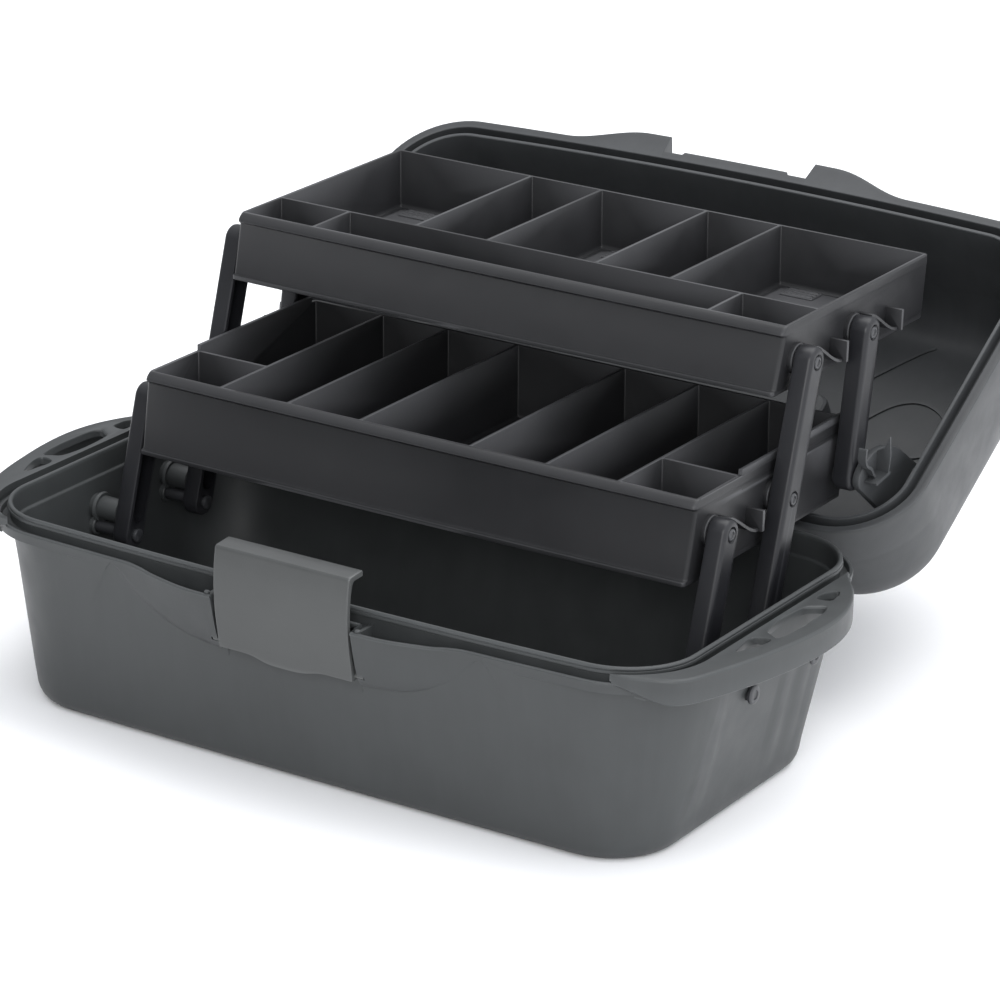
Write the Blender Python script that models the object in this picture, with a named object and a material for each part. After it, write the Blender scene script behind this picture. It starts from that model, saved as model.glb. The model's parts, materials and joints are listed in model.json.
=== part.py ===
"""Art supply box: moulded base and lid, two cantilever trays on swing arms.

Metres, +Z up, origin at the centre of the underside of the base, -Y is the
front (latch side).  The box is built open: lid tipped back, trays lifted.
"""
import math
import bpy
import bmesh
from mathutils import Matrix, Vector

MM = 0.001

# ---------------------------------------------------------------- dimensions
HALF_X = 156.1          # end faces of the sealing ridge
FRONT_Y = -83.0         # front face of the ridge at the corners
REAR_Y = 83.7           # rear face of the ridge
FRONT_BOW = 3.0         # the front bulges this much at the middle
CORNER_R = 31.0         # plan corner radius of the ridge
STRAIGHT_X = HALF_X - CORNER_R
REAR_FLARE = 3.0 / 4.6  # the rim stands out less at the hinge side

RIDGE_TOP = 83.4
RIM_OUT = 4.6
RIM_TOP = 78.7
LID_TOP = 144.1
LIP_Z = 79.1            # underside of the lid lip, closed

HINGE = (90.0, 79.3)    # y, z of the lid hinge axis
LID_OPEN = 148.0        # degrees from closed to open

GAP_HALF = 33.1         # latch gap between the two front scoops
SCOOP_OUT = 6.3         # scoop stands this far beyond the rim
SCOOP_TOP = 77.6
SCOOP_END = 80.0

B_FRONT = (-12.4, 54.5)   # lower arm pivots in the base
B_REAR = (35.6, 54.5)
ARM_OPEN = 74.2           # arm angle above +Y, open and closed
ARM_CLOSED = 146.0
L_SHORT = 56.8
L_LONG = 110.3
LINK_OPEN = 81.5          # angle of the rear link, pin end to tray end
LINK_CLOSED = 150.0
P_OPEN = (103.0, 103.0)   # cam pin of the rear link, open
ARM_X0, ARM_X1 = 130.4, 138.2
ARM_W = 12.0
PLATE_X0, PLATE_X1 = 138.7, 141.7

TRAY_HALF = 128.25
TRAY_WALL = 1.8
LOW_TRAY = dict(top=123.7, h=33.5, y0=-5.7, y1=112.1, lean=7.1)
UP_TRAY = dict(top=175.2, h=27.0, y0=58.1, y1=175.9, lean=7.4)

LATCH_HALF = 30.8
LATCH_PIVOT = (-90.2, 58.0)

PIN_R = 2.5


def rot(p, deg, c=(0.0, 0.0)):
    """Turn the (y, z) point p about c, positive from +Y to +Z."""
    a = math.radians(deg)
    y, z = p[0] - c[0], p[1] - c[1]
    return (c[0] + y * math.cos(a) - z * math.sin(a),
            c[1] + y * math.sin(a) + z * math.cos(a))


def along(p, deg, d):
    a = math.radians(deg)
    return (p[0] + d * math.cos(a), p[1] + d * math.sin(a))


T_REAR = along(B_REAR, ARM_OPEN, L_SHORT)
T_FRONT = along(B_FRONT, ARM_OPEN, L_SHORT)
U_FRONT = along(B_REAR, ARM_OPEN, L_LONG)
U_REAR = (U_FRONT[0] + 46.0, U_FRONT[1])
L_LINK = math.hypot(U_REAR[0] - P_OPEN[0], U_REAR[1] - P_OPEN[1])
LINK_OPEN = math.degrees(math.atan2(U_REAR[1] - P_OPEN[1], U_REAR[0] - P_OPEN[0]))


# ------------------------------------------------------------------ helpers
for o in list(bpy.data.objects):
    bpy.data.objects.remove(o, do_unlink=True)


def material(name, rgb, rough, metal=0.0):
    m = bpy.data.materials.new(name)
    m.use_nodes = True
    b = m.node_tree.nodes["Principled BSDF"]
    b.inputs["Base Color"].default_value = (*rgb, 1.0)
    b.inputs["Roughness"].default_value = rough
    b.inputs["Metallic"].default_value = metal
    return m


M_BASE = material("base_grey", (0.098, 0.107, 0.112), 0.5)
M_LID = material("lid_grey", (0.062, 0.066, 0.071), 0.5)
M_TRAY = material("tray_charcoal", (0.036, 0.039, 0.042), 0.45)
M_ARM = material("arm_grey", (0.070, 0.072, 0.078), 0.45)
M_LATCH = material("latch_grey", (0.140, 0.148, 0.150), 0.48)
M_PIN = material("pin_grey", (0.100, 0.105, 0.110), 0.4)
M_STEEL = material("steel_rod", (0.55, 0.55, 0.55), 0.3, 1.0)


def solid(name, verts, faces, mat=None):
    me = bpy.data.meshes.new(name)
    me.from_pydata([Vector(v) * MM for v in verts], [], faces)
    bm = bmesh.new()
    bm.from_mesh(me)
    bmesh.ops.recalc_face_normals(bm, faces=bm.faces)
    bm.to_mesh(me)
    bm.free()
    ob = bpy.data.objects.new(name, me)
    bpy.context.scene.collection.objects.link(ob)
    if mat:
        me.materials.append(mat)
    return ob


def loft(name, rings, mat=None):
    """Closed solid through equal rings; the first and last are capped."""
    n = len(rings[0])
    verts = [p for r in rings for p in r]
    faces = [tuple(range(n))]
    for k in range(len(rings) - 1):
        for i in range(n):
            j = (i + 1) % n
            faces.append((k * n + i, k * n + j, (k + 1) * n + j, (k + 1) * n + i))
    last = (len(rings) - 1) * n
    faces.append(tuple(last + i for i in reversed(range(n))))
    return solid(name, verts, faces, mat)


def prism_x(name, yz, x0, x1, mat=None):
    return loft(name, [[(x, y, z) for y, z in yz] for x in (x0, x1)], mat)


def prism_z(name, xy, z0, z1, mat=None):
    return loft(name, [[(x, y, z) for x, y in xy] for z in (z0, z1)], mat)


def box(name, x0, x1, y0, y1, z0, z1, mat=None):
    return prism_z(name, [(x0, y0), (x1, y0), (x1, y1), (x0, y1)], z0, z1, mat)


def circle(c, r, n):
    return [(c[0] + r * math.cos(2 * math.pi * (i + 0.5) / n),
             c[1] + r * math.sin(2 * math.pi * (i + 0.5) / n)) for i in range(n)]


def rod_x(name, c, stations, n=20, mat=None):
    """Turned rod along X: stations is a list of (x, radius)."""
    return loft(name, [[(x, y, z) for y, z in circle(c, r, n)]
                       for x, r in stations], mat)


def combine(ob, other, op):
    """Boolean other into ob and drop other."""
    mod = ob.modifiers.new("b", "BOOLEAN")
    mod.operation = op
    mod.solver = "EXACT"
    mod.object = other
    dg = bpy.context.evaluated_depsgraph_get()
    me = bpy.data.meshes.new_from_object(ob.evaluated_get(dg))
    ob.modifiers.clear()
    mats = list(ob.data.materials)
    old = ob.data
    ob.data = me
    me.materials.clear()
    for m in mats:
        me.materials.append(m)
    bpy.data.meshes.remove(old)
    bpy.data.objects.remove(other, do_unlink=True)


def add(ob, *others):
    for o in others:
        combine(ob, o, "UNION")


def cut(ob, *others):
    for o in others:
        combine(ob, o, "DIFFERENCE")


def finish(ob, origin=(0.0, 0.0, 0.0), angle=35.0, turn=None):
    """Tidy the mesh, put the origin on the joint axis, shade it smooth."""
    me = ob.data
    if turn is not None:
        t = Matrix.Translation(Vector((0, HINGE[0], HINGE[1])) * MM)
        me.transform(t @ Matrix.Rotation(math.radians(turn), 4, "X") @ t.inverted())
    bm = bmesh.new()
    bm.from_mesh(me)
    bmesh.ops.remove_doubles(bm, verts=bm.verts, dist=2e-6)
    bmesh.ops.dissolve_degenerate(bm, dist=1e-6, edges=bm.edges)
    bm.to_mesh(me)
    bm.free()
    o = Vector(origin) * MM
    me.transform(Matrix.Translation(-o))
    ob.location = o
    for p in me.polygons:
        p.use_smooth = True
    me.set_sharp_from_angle(angle=math.radians(angle))
    return ob


# --------------------------------------------------------- plan of the shell
BASE_X = [0, 16, 30.9, 31.3, 33.0, 33.1, 35.4, 35.7, 42, 50, 58, 66, 74, 82, 98, STRAIGHT_X]
LID_X = [0, 14, 25.4, 27.0, 34.9, 35.4, 44, 52, 60, 68, 76, 85, 104, STRAIGHT_X]
CORNER_N = 6
SIDE_Y = [-26.0, 0.0, 26.0]


def bow(x):
    return FRONT_BOW * max(0.0, 1 - (x / STRAIGHT_X) ** 2)


def outline(off, shift=None, lift=None, z=0.0, xs=BASE_X, shape=None):
    """One ring of the shell at offset off from the ridge's outer face.
    shift(x) pushes front points forward, lift(x) changes their height.
    shape: extra corner radius, end, front and rear shifts, share of the bow."""
    dr, dx, df, db, bs = shape or (0.0, 0.0, 0.0, 0.0, 1.0)
    pts = []
    half = []
    r = CORNER_R + off + dr
    cx = STRAIGHT_X + dx - dr
    for x in xs:
        y = FRONT_Y - df - bow(x) * bs - off
        zz = z
        if shift:
            y -= shift(x)
        if lift:
            zz = lift(x)
        px = x if x <= 84.0 else 84.0 + (x - 84.0) * (cx - 84.0) / (STRAIGHT_X - 84.0)
        half.append((px, y, zz))
    cf = FRONT_Y - df - off + r
    for i in range(1, CORNER_N + 1):
        a = math.radians(-90 + 90 * i / CORNER_N)
        half.append((cx + r * math.cos(a), cf + r * math.sin(a), z))
    rear = off * REAR_FLARE if off > 0 else off
    ry = r - off + rear
    cr = REAR_Y + db + rear - ry
    c0, c1 = FRONT_Y + CORNER_R, REAR_Y - CORNER_R
    for y in SIDE_Y:
        half.append((cx + r, cf + (y - c0) * (cr - cf) / (c1 - c0), z))
    for i in range(0, CORNER_N + 1):
        a = math.radians(90 * i / CORNER_N)
        half.append((cx + r * math.cos(a), cr + ry * math.sin(a), z))
    half.append((60.0, half[-1][1], z))
    half.append((0.0, half[-1][1], z))
    pts = half + [(-x, y, zz) for x, y, zz in reversed(half) if x > 1e-6]
    return pts


def wall_shape(z):
    """The wall's corners are rounder than the rim's, and the walls close in
    lower down."""
    t = max(0.0, min(1.0, (58.0 - z) / 46.0))
    return (13.0 - 7.6 * t, -2.2 * t, -0.9 * t, -6.6 * t, 1.0 - 0.7 * t)


def inner_shape(z):
    w = wall_shape(max(12.0, z))
    k = max(0.0, min(1.0, (58.0 - z) / 46.0))
    return (5.0 * k, w[1], w[2], w[3], w[4])


def interp(x, table):
    if x <= table[0][0]:
        return table[0][1]
    for (a, va), (b, vb) in zip(table, table[1:]):
        if x <= b:
            return va + (vb - va) * (x - a) / (b - a)
    return table[-1][1]


SCOOP_LOW = [(GAP_HALF, 53.0), (42.0, 53.0), (48.0, 53.6), (55.0, 55.6),
             (62.5, 58.8), (69.0, 62.6), (75.0, 67.2), (SCOOP_END + 4, 77.4)]


def scoop_edge(x):
    """How far the scoop's top edge stands out from the rim."""
    x = abs(x)
    if x < GAP_HALF - 0.05 or x > SCOOP_END:
        return 0.0
    t = max(0.0, x - 40.0) / (SCOOP_END - 40.0)
    return SCOOP_OUT * (0.5 + 0.5 * math.cos(math.pi * t))


def scoop_bulge(x, z):
    e = scoop_edge(x)
    low = interp(abs(x), SCOOP_LOW)
    if e <= 0 or z <= low:
        return 0.0
    t = min(1.0, (z - low) / (SCOOP_TOP - low))
    return e * t ** 0.75


# -------------------------------------------------------------------- base
def outer_off(z):
    return RIM_OUT - 10.1 * (RIM_TOP - z) / 66.7


def base_bin():
    rings = []
    for off, z in ((-13.6, 0.0), (-11.0, 0.4), (-8.9, 1.7), (-7.1, 4.2),
                   (-6.1, 8.0), (outer_off(12), 12.0)):
        rings.append(outline(off, z=z, shape=wall_shape(12.0)))
    for z in (30.0, 50.0, 54.0, 58.0, 63.0, 68.5, 74.0, 74.3):
        off = outer_off(z)

        def push(x, z=z, off=off):
            if abs(x) < 31.0 and 51.0 < z < 76.0:
                return min(0.0, -(off + 0.2))       # recess behind the latch
            return scoop_bulge(x, z)
        rings.append(outline(off, push, z=z, shape=None if z > 74.1 else wall_shape(z)))

    def top_z(x, normal):
        e = scoop_edge(x)
        return normal + (SCOOP_TOP - normal) * min(1.0, e / 2.0)

    def in_pocket(x):
        return 35.5 < abs(x) < 78.0

    def floor_z(x):
        if not in_pocket(x):
            return 76.5 if abs(x) < 33.0 or abs(x) > 40 else SCOOP_TOP - 0.2
        return min(76.5, max(61.0, interp(abs(x), SCOOP_LOW) + 5.0))

    rings.append(outline(RIM_OUT - 0.1, scoop_edge, lambda x: top_z(x, RIM_TOP) - 0.9, 77.8))
    rings.append(outline(RIM_OUT - 0.3, scoop_edge, lambda x: top_z(x, RIM_TOP), RIM_TOP))
    rings.append(outline(2.8, scoop_edge, lambda x: top_z(x, RIM_TOP), RIM_TOP))

    def pocket_push(x):
        if not in_pocket(x):
            return scoop_edge(x)
        z = floor_z(x)
        return outer_off(z) + scoop_bulge(x, z) - 1.9 - 2.4
    rings.append(outline(2.4, pocket_push, floor_z, 76.5))
    rings.append(outline(0.3, None, floor_z, 76.5))
    for off, z in ((0.0, 77.9), (0.0, 82.2), (-0.5, 83.1), (-1.1, RIDGE_TOP),
                   (-1.7, 83.1), (-2.2, 82.2), (-2.2, 74.0), (-3.4, 73.4),
                   (-4.65, 58.0), (-6.6, 32.0), (-8.1, 12.0), (-9.6, 5.6), (-13.0, 2.6)):
        rings.append(outline(off, z=z, shape=inner_shape(z)))
    ob = loft("base_bin", rings, M_BASE)

    parts = []
    for s in (1, -1):
        add(ob, ear(s))
        for c in (B_FRONT, B_REAR):
            b = prism_x("boss", arm_outline([c, (c[0] + 2.4, c[1] + 7.8)], 10.4),
                        *sorted((s * 138.9, s * 153.5)))
            add(ob, b)
        # hinge knuckles
        for a, b in ((83.0, 91.0), (99.0, 107.0)):
            x0, x1 = sorted((s * a, s * b))
            k = rod_x("knuckle", HINGE, [(x0, 3.0), (x1, 3.0)], 20)
            add(k, box("web", x0 + 0.4, x1 - 0.4, 84.6, 89.2, 73.0, RIM_TOP))
            add(ob, k)
        # latch lugs
        add(ob, rod_x("lug", LATCH_PIVOT, [(s * 31.4, 3.0), (s * 31.8, 3.4), (s * 36.2, 3.4)], 18))
    for s in (1, -1):
        for c in (B_FRONT, B_REAR):
            cut(ob, rod_x("hole", c, [(s * 124.0, 2.85), (s * 166.0, 2.85)], 20))
        cut(ob, rod_x("hole", HINGE, [(s * 80.0, 1.6), (s * 110.0, 1.6)], 16))
        cut(ob, rod_x("hole", LATCH_PIVOT, [(s * 29.0, 1.8), (s * 35.3, 1.8)], 16))
    return finish(ob)


EAR_EDGE = [(-79.5, 153.5), (-78.2, 159.5), (-76.2, 164.6), (-72.0, 168.6), (-64.0, 171.6),
            (-52.0, 175.4), (-39.0, 178.8), (-25.8, 180.8), (-12.0, 181.9), (2.0, 181.9),
            (14.0, 180.8), (25.0, 178.4), (34.0, 175.0), (41.0, 171.3), (47.0, 167.3),
            (51.5, 163.5), (54.0, 161.2)]
EAR_SLOTS = [
    [(166.5, -40), (164.2, -33), (163.5, -27.2), (164.9, -23.3), (170.6, -22.2),
     (171.6, -26), (170.1, -32.6)],
    [(165.2, -15), (163.9, -8.5), (163.6, -1.8), (164.0, 6.5), (165, 13.7), (168, 16.6),
     (171.2, 18.1), (173.1, 13.3), (173.6, 3), (173.5, -7), (172, -18.2), (168.3, -17.2)],
    [(164.1, 24.6), (164.2, 31), (165.6, 33.8), (167.6, 35.5), (169.3, 33.0), (169.8, 30.0),
     (169.5, 25.3)]]


def rim_x(y, off):
    """Outer |x| of the shell at y for a given offset."""
    r = CORNER_R + off
    cy = FRONT_Y + CORNER_R
    if y < cy:
        return STRAIGHT_X + math.sqrt(max(0.0, r * r - (cy - y) ** 2))
    cy = REAR_Y - CORNER_R
    if y > cy:
        return STRAIGHT_X + math.sqrt(max(0.0, r * r - (y - cy) ** 2))
    return HALF_X + off


def ear(s):
    """End grip: slotted shelf with a skirt, standing off the end wall."""
    top, under = 82.8, 79.9
    edge = [(x, y) for y, x in EAR_EDGE]
    ys = [54.0, 40.0, 20.0, 0.0, -20.0, -40.0, -52.0, -58.0, -64.0, -70.0, -75.0, -79.5]
    inner = [(rim_x(y, 5.1), y) for y in ys]
    plate = prism_z("ear", [(s * x, y) for x, y in edge + inner], under, top)
    # web that ties the shelf to the rim
    tie = [(rim_x(y, 7.2), y) for y in reversed(ys)] + [(rim_x(y, 5.1), y) for y in ys]
    add(plate, prism_z("tie", [(s * x, y) for x, y in tie], 74.0, under + 1.0))
    low = [(rim_x(y, 6.2), y) for y in reversed(ys)] + [(rim_x(y, 3.4), y) for y in ys]
    add(plate, prism_z("low", [(s * x, y) for x, y in low], 73.0, 78.2))
    # skirt round the outer edge
    n = len(edge)
    inset = []
    for i, (x, y) in enumerate(edge):
        a, b = edge[max(0, i - 1)], edge[min(n - 1, i + 1)]
        d = Vector((b[0] - a[0], b[1] - a[1])).normalized()
        iy = y + d.x * 2.2
        inset.append((max(x - d.y * 2.2, rim_x(iy, 5.1)), iy))
    z_low = [70.5 + 2.5 * abs(i - n / 2) / (n / 2) for i in range(n)]
    loop = edge + inset[::-1]
    zl = z_low + z_low[::-1]
    rings = [[(s * x, y, under + 1.2) for x, y in loop],
             [(s * x, y, z) for (x, y), z in zip(loop, zl)]]
    add(plate, loft("skirt", rings))
    for sl in EAR_SLOTS:
        cut(plate, prism_z("slot", [(s * x, y) for x, y in sl], 76.0, 88.0))
    return plate


# --------------------------------------------------------------------- lid
LID_BUMP_HI = [(35.0, 104.5), (46.0, 103.5), (56.0, 100.0), (65.0, 95.5), (74.0, 88.5),
               (84.0, 79.6)]


def bump_edge(x):
    x = abs(x)
    if x < 25.5:
        return 1.4
    if x < 35.2:
        return 0.0
    if x > 84.0:
        return 0.0
    t = max(0.0, x - 46.0) / 38.0
    return 8.8 * (0.5 + 0.5 * math.cos(math.pi * t))


def bump(x, z):
    e = bump_edge(x)
    x = abs(x)
    hi = 101.0 if x < 26.5 else interp(x, LID_BUMP_HI)
    if z >= hi:
        return 0.0
    return e * min(1.0, (hi - z) / (hi - LIP_Z)) ** 0.75


def link_pin(t):
    """Rear link cam pin (y, z) at closing fraction t."""
    u = rot(U_FRONT, (ARM_CLOSED - ARM_OPEN) * t, B_REAR)
    u = (u[0] + 46.0, u[1])
    a = LINK_OPEN + (LINK_CLOSED - LINK_OPEN) * t
    return along(u, a, -L_LINK)


def cam_track(n=56):
    """Path of the cam pin seen from the lid, in the closed lid's place.
    The pin dwells at the rear end first, so close points are dropped."""
    path = [rot(link_pin(i / (n - 1)), LID_OPEN * (1 - i / (n - 1)), HINGE)
            for i in range(n)]
    rear = max(range(n), key=lambda i: path[i][0])
    out = [path[rear]]
    for p in path[rear + 1:-1]:
        if math.hypot(p[0] - out[-1][0], p[1] - out[-1][1]) > 2.2:
            out.append(p)
    if math.hypot(path[-1][0] - out[-1][0], path[-1][1] - out[-1][1]) < 1.0:
        out.pop()
    return out + [path[-1]]


def fat(path, r, caps=6):
    """Outline of a polyline thickened to half width r with round ends."""
    left, right = [], []
    n = len(path)
    for i, p in enumerate(path):
        a, b = path[max(0, i - 1)], path[min(n - 1, i + 1)]
        d = Vector((b[0] - a[0], b[1] - a[1])).normalized()
        left.append((p[0] - d.y * r, p[1] + d.x * r))
        right.append((p[0] + d.y * r, p[1] - d.x * r))

    def cap(p, q, c, k):
        a0 = math.atan2(q[1] - c[1], q[0] - c[0])
        return [(c[0] + r * math.cos(a0 - math.pi * j / k),
                 c[1] + r * math.sin(a0 - math.pi * j / k)) for j in range(1, k)]
    end = cap(None, left[-1], path[-1], caps)
    start = cap(None, right[0], path[0], caps)
    return left + end + right[::-1] + start


def hull(points):
    pts = sorted(set((round(a, 4), round(b, 4)) for a, b in points))

    def half(seq):
        out = []
        for p in seq:
            while len(out) > 1 and ((out[-1][0] - out[-2][0]) * (p[1] - out[-2][1])
                                    - (out[-1][1] - out[-2][1]) * (p[0] - out[-2][0])) <= 1e-6:
                out.pop()
            out.append(p)
        return out
    a, b = half(pts), half(reversed(pts))
    return a[:-1] + b[:-1]


def lid_shell():
    rings = [outline(off, z=z, xs=LID_X) for off, z in
             ((-24.5, LID_TOP), (-19.0, 143.5), (-14.2, 141.6), (-10.2, 138.4), (-7.2, 134.3),
              (-5.0, 129.5), (-3.4, 124.0), (-2.0, 118.0))]
    wall = lambda z: 4.4 - 0.178 * (z - 82.0)
    for z in (106.0, 101.5, 97.0, 92.0, 86.5, 82.0):
        rings.append(outline(wall(z), lambda x, z=z: bump(x, z), z=z, xs=LID_X))
    rings.append(outline(RIM_OUT, bump_edge, z=LIP_Z, xs=LID_X))
    for off, z, lead in ((2.6, LIP_Z, 1), (0.45, 79.3, 0), (0.45, 84.0, 0), (-2.65, 84.0, 0),
                         (-3.1, 79.3, 0), (-3.3, LIP_Z, 0), (-4.7, LIP_Z, 0), (-4.9, 80.0, 0),
                         (-5.0, 118.0, 0), (-5.8, 123.6, 0), (-7.3, 128.9, 0),
                         (-9.4, 133.3, 0), (-12.2, 136.9, 0), (-15.7, 139.6, 0),
                         (-19.8, 141.3, 0), (-25.0, 141.9, 0)):
        rings.append(outline(off, bump_edge if lead else None, z=z, xs=LID_X))
    ob = loft("lid_shell", rings, M_LID)

    # hook pocket for the latch
    cut(ob, box("pocket", -32.4, 32.4, -99.0, -85.3, 95.7, 102.4))

    # handle well in the top
    add(ob, box("well", -67.5, 67.5, -21.5, 21.5, 134.0, 143.0))
    cut(ob, box("well_cut", -61.2, 61.2, -19.0, 19.0, 136.3, 150.0))

    for s in (1, -1):
        # cam bracket for the rear link
        track = cam_track()
        body = hull(fat(track, 6.4) + [(HINGE[0] - 34.0, HINGE[1] + 28.0),
                                       (HINGE[0] - 57.0, HINGE[1] + 28.0),
                                       (HINGE[0] - 60.0, HINGE[1] + 20.0)])
        plate = prism_x("plate", body, s * PLATE_X0, s * PLATE_X1)
        add(plate, box("web", *sorted((s * (PLATE_X0 + 1.2), s * 154.0)), HINGE[0] - 56.0,
                       HINGE[0] - 37.0, HINGE[1] + 16.5, HINGE[1] + 26.0))
        cut(plate, prism_x("track", fat(track, PIN_R + 0.4), s * 136.0, s * 145.0))
        add(ob, plate)
        # hinge knuckle
        x0, x1 = sorted((s * 91.4, s * 98.6))
        k = rod_x("knuckle", HINGE, [(x0, 3.0), (x1, 3.0)], 20)
        add(k, box("web", x0 + 0.3, x1 - 0.3, 84.0, 89.4, 79.6, 83.6))
        add(ob, k)
        cut(ob, rod_x("hole", HINGE, [(s * 88.0, 1.6), (s * 102.0, 1.6)], 16))
        cut(ob, rod_x("hole", HANDLE_PIVOT, [(s * 59.0, 1.75), (s * 65.4, 1.75)], 16))
    return finish(ob, (0, *HINGE), turn=-LID_OPEN)


HANDLE_PIVOT = (10.5, 140.3)


def carry_handle():
    """Flat bail folded into the lid top."""
    w, t = 58.0, 7.0
    out = [(-w, 12.9), (-w, -9.0), (-w + 6, -14.5), (w - 6, -14.5), (w, -9.0), (w, 12.9),
           (w - t, 12.9), (w - t, -4.5), (w - t - 3, -7.0), (-w + t + 3, -7.0),
           (-w + t, -4.5), (-w + t, 12.9)]
    ob = prism_z("carry_handle", out, 137.4, 142.6, M_LATCH)
    mod = ob.modifiers.new("edge", "BEVEL")
    mod.width = 1.1 * MM
    mod.segments = 2
    mod.limit_method = "ANGLE"
    mod.angle_limit = math.radians(30)
    dg = bpy.context.evaluated_depsgraph_get()
    me = bpy.data.meshes.new_from_object(ob.evaluated_get(dg))
    ob.modifiers.clear()
    ob.data = me
    for s in (1, -1):
        cut(ob, rod_x("hole", HANDLE_PIVOT, [(s * 49.0, 1.75), (s * 60.0, 1.75)], 16))
    p = rot(HANDLE_PIVOT, -LID_OPEN, HINGE)
    return finish(ob, (0, *p), turn=-LID_OPEN)


# ------------------------------------------------------------------- latch
def front_latch():
    c = LATCH_PIVOT
    back_boss = [(c[0] + 2.3 * math.cos(math.radians(a)), c[1] + 2.3 * math.sin(math.radians(a)))
                 for a in (75, 40, 5, -30, -65)]
    prof = ([(-92.4, 55.6), (-93.0, 58.4), (-93.8, 62.5), (-94.9, 68.0), (-95.7, 73.0),
             (-96.3, 79.0), (-96.4, 85.0), (-96.1, 91.0), (-95.3, 96.8), (-94.3, 98.3),
             (-86.6, 99.0), (-85.9, 98.4), (-85.9, 96.6), (-92.6, 96.1), (-93.7, 91.0),
             (-94.1, 85.0), (-94.0, 79.0), (-93.4, 73.0), (-92.5, 68.0), (-91.4, 62.5)]
            + back_boss + [(c[0] - 0.8, c[1] - 2.6)])
    ob = loft("front_latch", [[(x, y, z) for y, z in prof]
                              for x in (-LATCH_HALF, -20.0, -8.0, 8.0, 20.0, LATCH_HALF)], M_LATCH)
    for s in (1, -1):
        add(ob, rod_x("stub", c, [(s * 28.0, 1.5), (s * 34.4, 1.5), (s * 34.8, 1.1)], 16))
    return finish(ob, (0, *c))


# -------------------------------------------------------------------- arms
def arm_outline(points, w, n=7):
    """Hull of discs of diameter w at the points."""
    ring = []
    for p in points:
        ring += [(p[0] + w / 2 * math.cos(2 * math.pi * i / (2 * n)),
                  p[1] + w / 2 * math.sin(2 * math.pi * i / (2 * n))) for i in range(2 * n)]
    return hull(ring)


def arm(name, ends, s, holes):
    """Channel-section swing arm, open towards the trays."""
    body = prism_x(name, arm_outline(ends, ARM_W), s * ARM_X0, s * ARM_X1, M_ARM)
    for a, b in zip(holes, holes[1:]):
        d = Vector((b[0] - a[0], b[1] - a[1]))
        u = d.normalized()
        p = (a[0] + u.x * 9.0, a[1] + u.y * 9.0)
        q = (b[0] - u.x * 9.0, b[1] - u.y * 9.0)
        cut(body, prism_x("channel", arm_outline([p, q], ARM_W - 4.4, 4),
                          s * (ARM_X0 - 2.0), s * (ARM_X1 - 2.2)))
    for h in holes:
        cut(body, rod_x("hole", h, [(s * (ARM_X0 - 3), PIN_R + 0.3),
                                    (s * (ARM_X1 + 3), PIN_R + 0.3)], 20))
    return body


def pin(name, c, s, x_head, x_tip, head_out=False):
    """Shouldered pivot pin; the head sits at x_head."""
    if head_out:
        st = [(x_tip, 2.6), (x_tip + 0.5, 3.5), (x_tip + 2.0, 3.5), (x_tip + 2.001, PIN_R),
              (x_head, PIN_R), (x_head + 0.001, 3.9),
              (x_head + 1.0, 3.9), (x_head + 1.5, 3.3)]
    else:
        st = [(x_head - 1.4, 3.2), (x_head - 1.0, 3.8), (x_head - 0.001, 3.8),
              (x_head, PIN_R), (x_tip - 0.6, PIN_R), (x_tip, 2.0)]
    return rod_x(name, c, [(s * x, r) for x, r in st], 16, M_PIN)


# ------------------------------------------------------------------- trays
def tray_outline(y0, y1, half, r, n=4, bowed=0.0):
    """Rounded rectangle, optional slight forward bow of the front edge."""
    pts = []
    for i in range(-6, 7):
        x = (half - r) * i / 6
        pts.append((x, y0 - bowed * (1 - (i / 6) ** 2)))
    for cx, cy, a0 in ((half - r, y0 + r, -90), (half - r, y1 - r, 0),
                       (-half + r, y1 - r, 90), (-half + r, y0 + r, 180)):
        k0 = 1 if cy == y0 + r and cx > 0 else 0
        k1 = n if cx < 0 and cy == y0 + r else n + 1
        for k in range(k0, k1):
            a = math.radians(a0 + 90.0 * k / n)
            pts.append((cx + r * math.cos(a), cy + r * math.sin(a)))
    return pts


def pocket(name, x0, x1, y0, y1, z0, z1, draft=1.2, r=2.2, lean0=0.0):
    """Tapered compartment with chamfered corners; lean0 moves the front
    of the floor forward."""
    def ring(d, z, y_lead, c):
        a, b, e, f = x0 + d, x1 - d, y0 + d - y_lead, y1 - d
        return [(a + c, e, z), (b - c, e, z), (b, e + c, z), (b, f - c, z),
                (b - c, f, z), (a + c, f, z), (a, f - c, z), (a, e + c, z)]
    return loft(name, [ring(draft, z0, lean0, r + 1.0), ring(draft * 0.45, z0 + 2.0, lean0 * 0.93, r),
                       ring(0.0, z1, 0.0, r * 0.6)])


def tray_blank(name, t):
    top, h, y0, y1, lean = t["top"], t["h"], t["y0"], t["y1"], t["lean"]
    bot = top - h
    rows = [(bot, lean - 1.6, 3.2), (bot + 1.2, lean + 0.4, 1.2), (bot + 3.4, lean + 0.9, 0.9),
            (bot + 4.6, lean - 1.2, 0.8), (top - 3.0, 1.2, 0.2), (top - 2.2, 1.4, 0.0),
            (top, 0.0, 0.0)]
    rings = []
    for z, fwd, inn in rows:
        rings.append([(x, y, z) for x, y in
                      tray_outline(y0 - fwd, y1 - inn, TRAY_HALF - inn, 2.4, bowed=1.0)])
    return loft(name, rings, M_TRAY)


HOOK = [(9.5, 2.5), (14.6, -0.6), (19.0, -3.5), (23.0, -5.8), (26.5, -7.2), (29.6, -7.7)]


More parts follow.
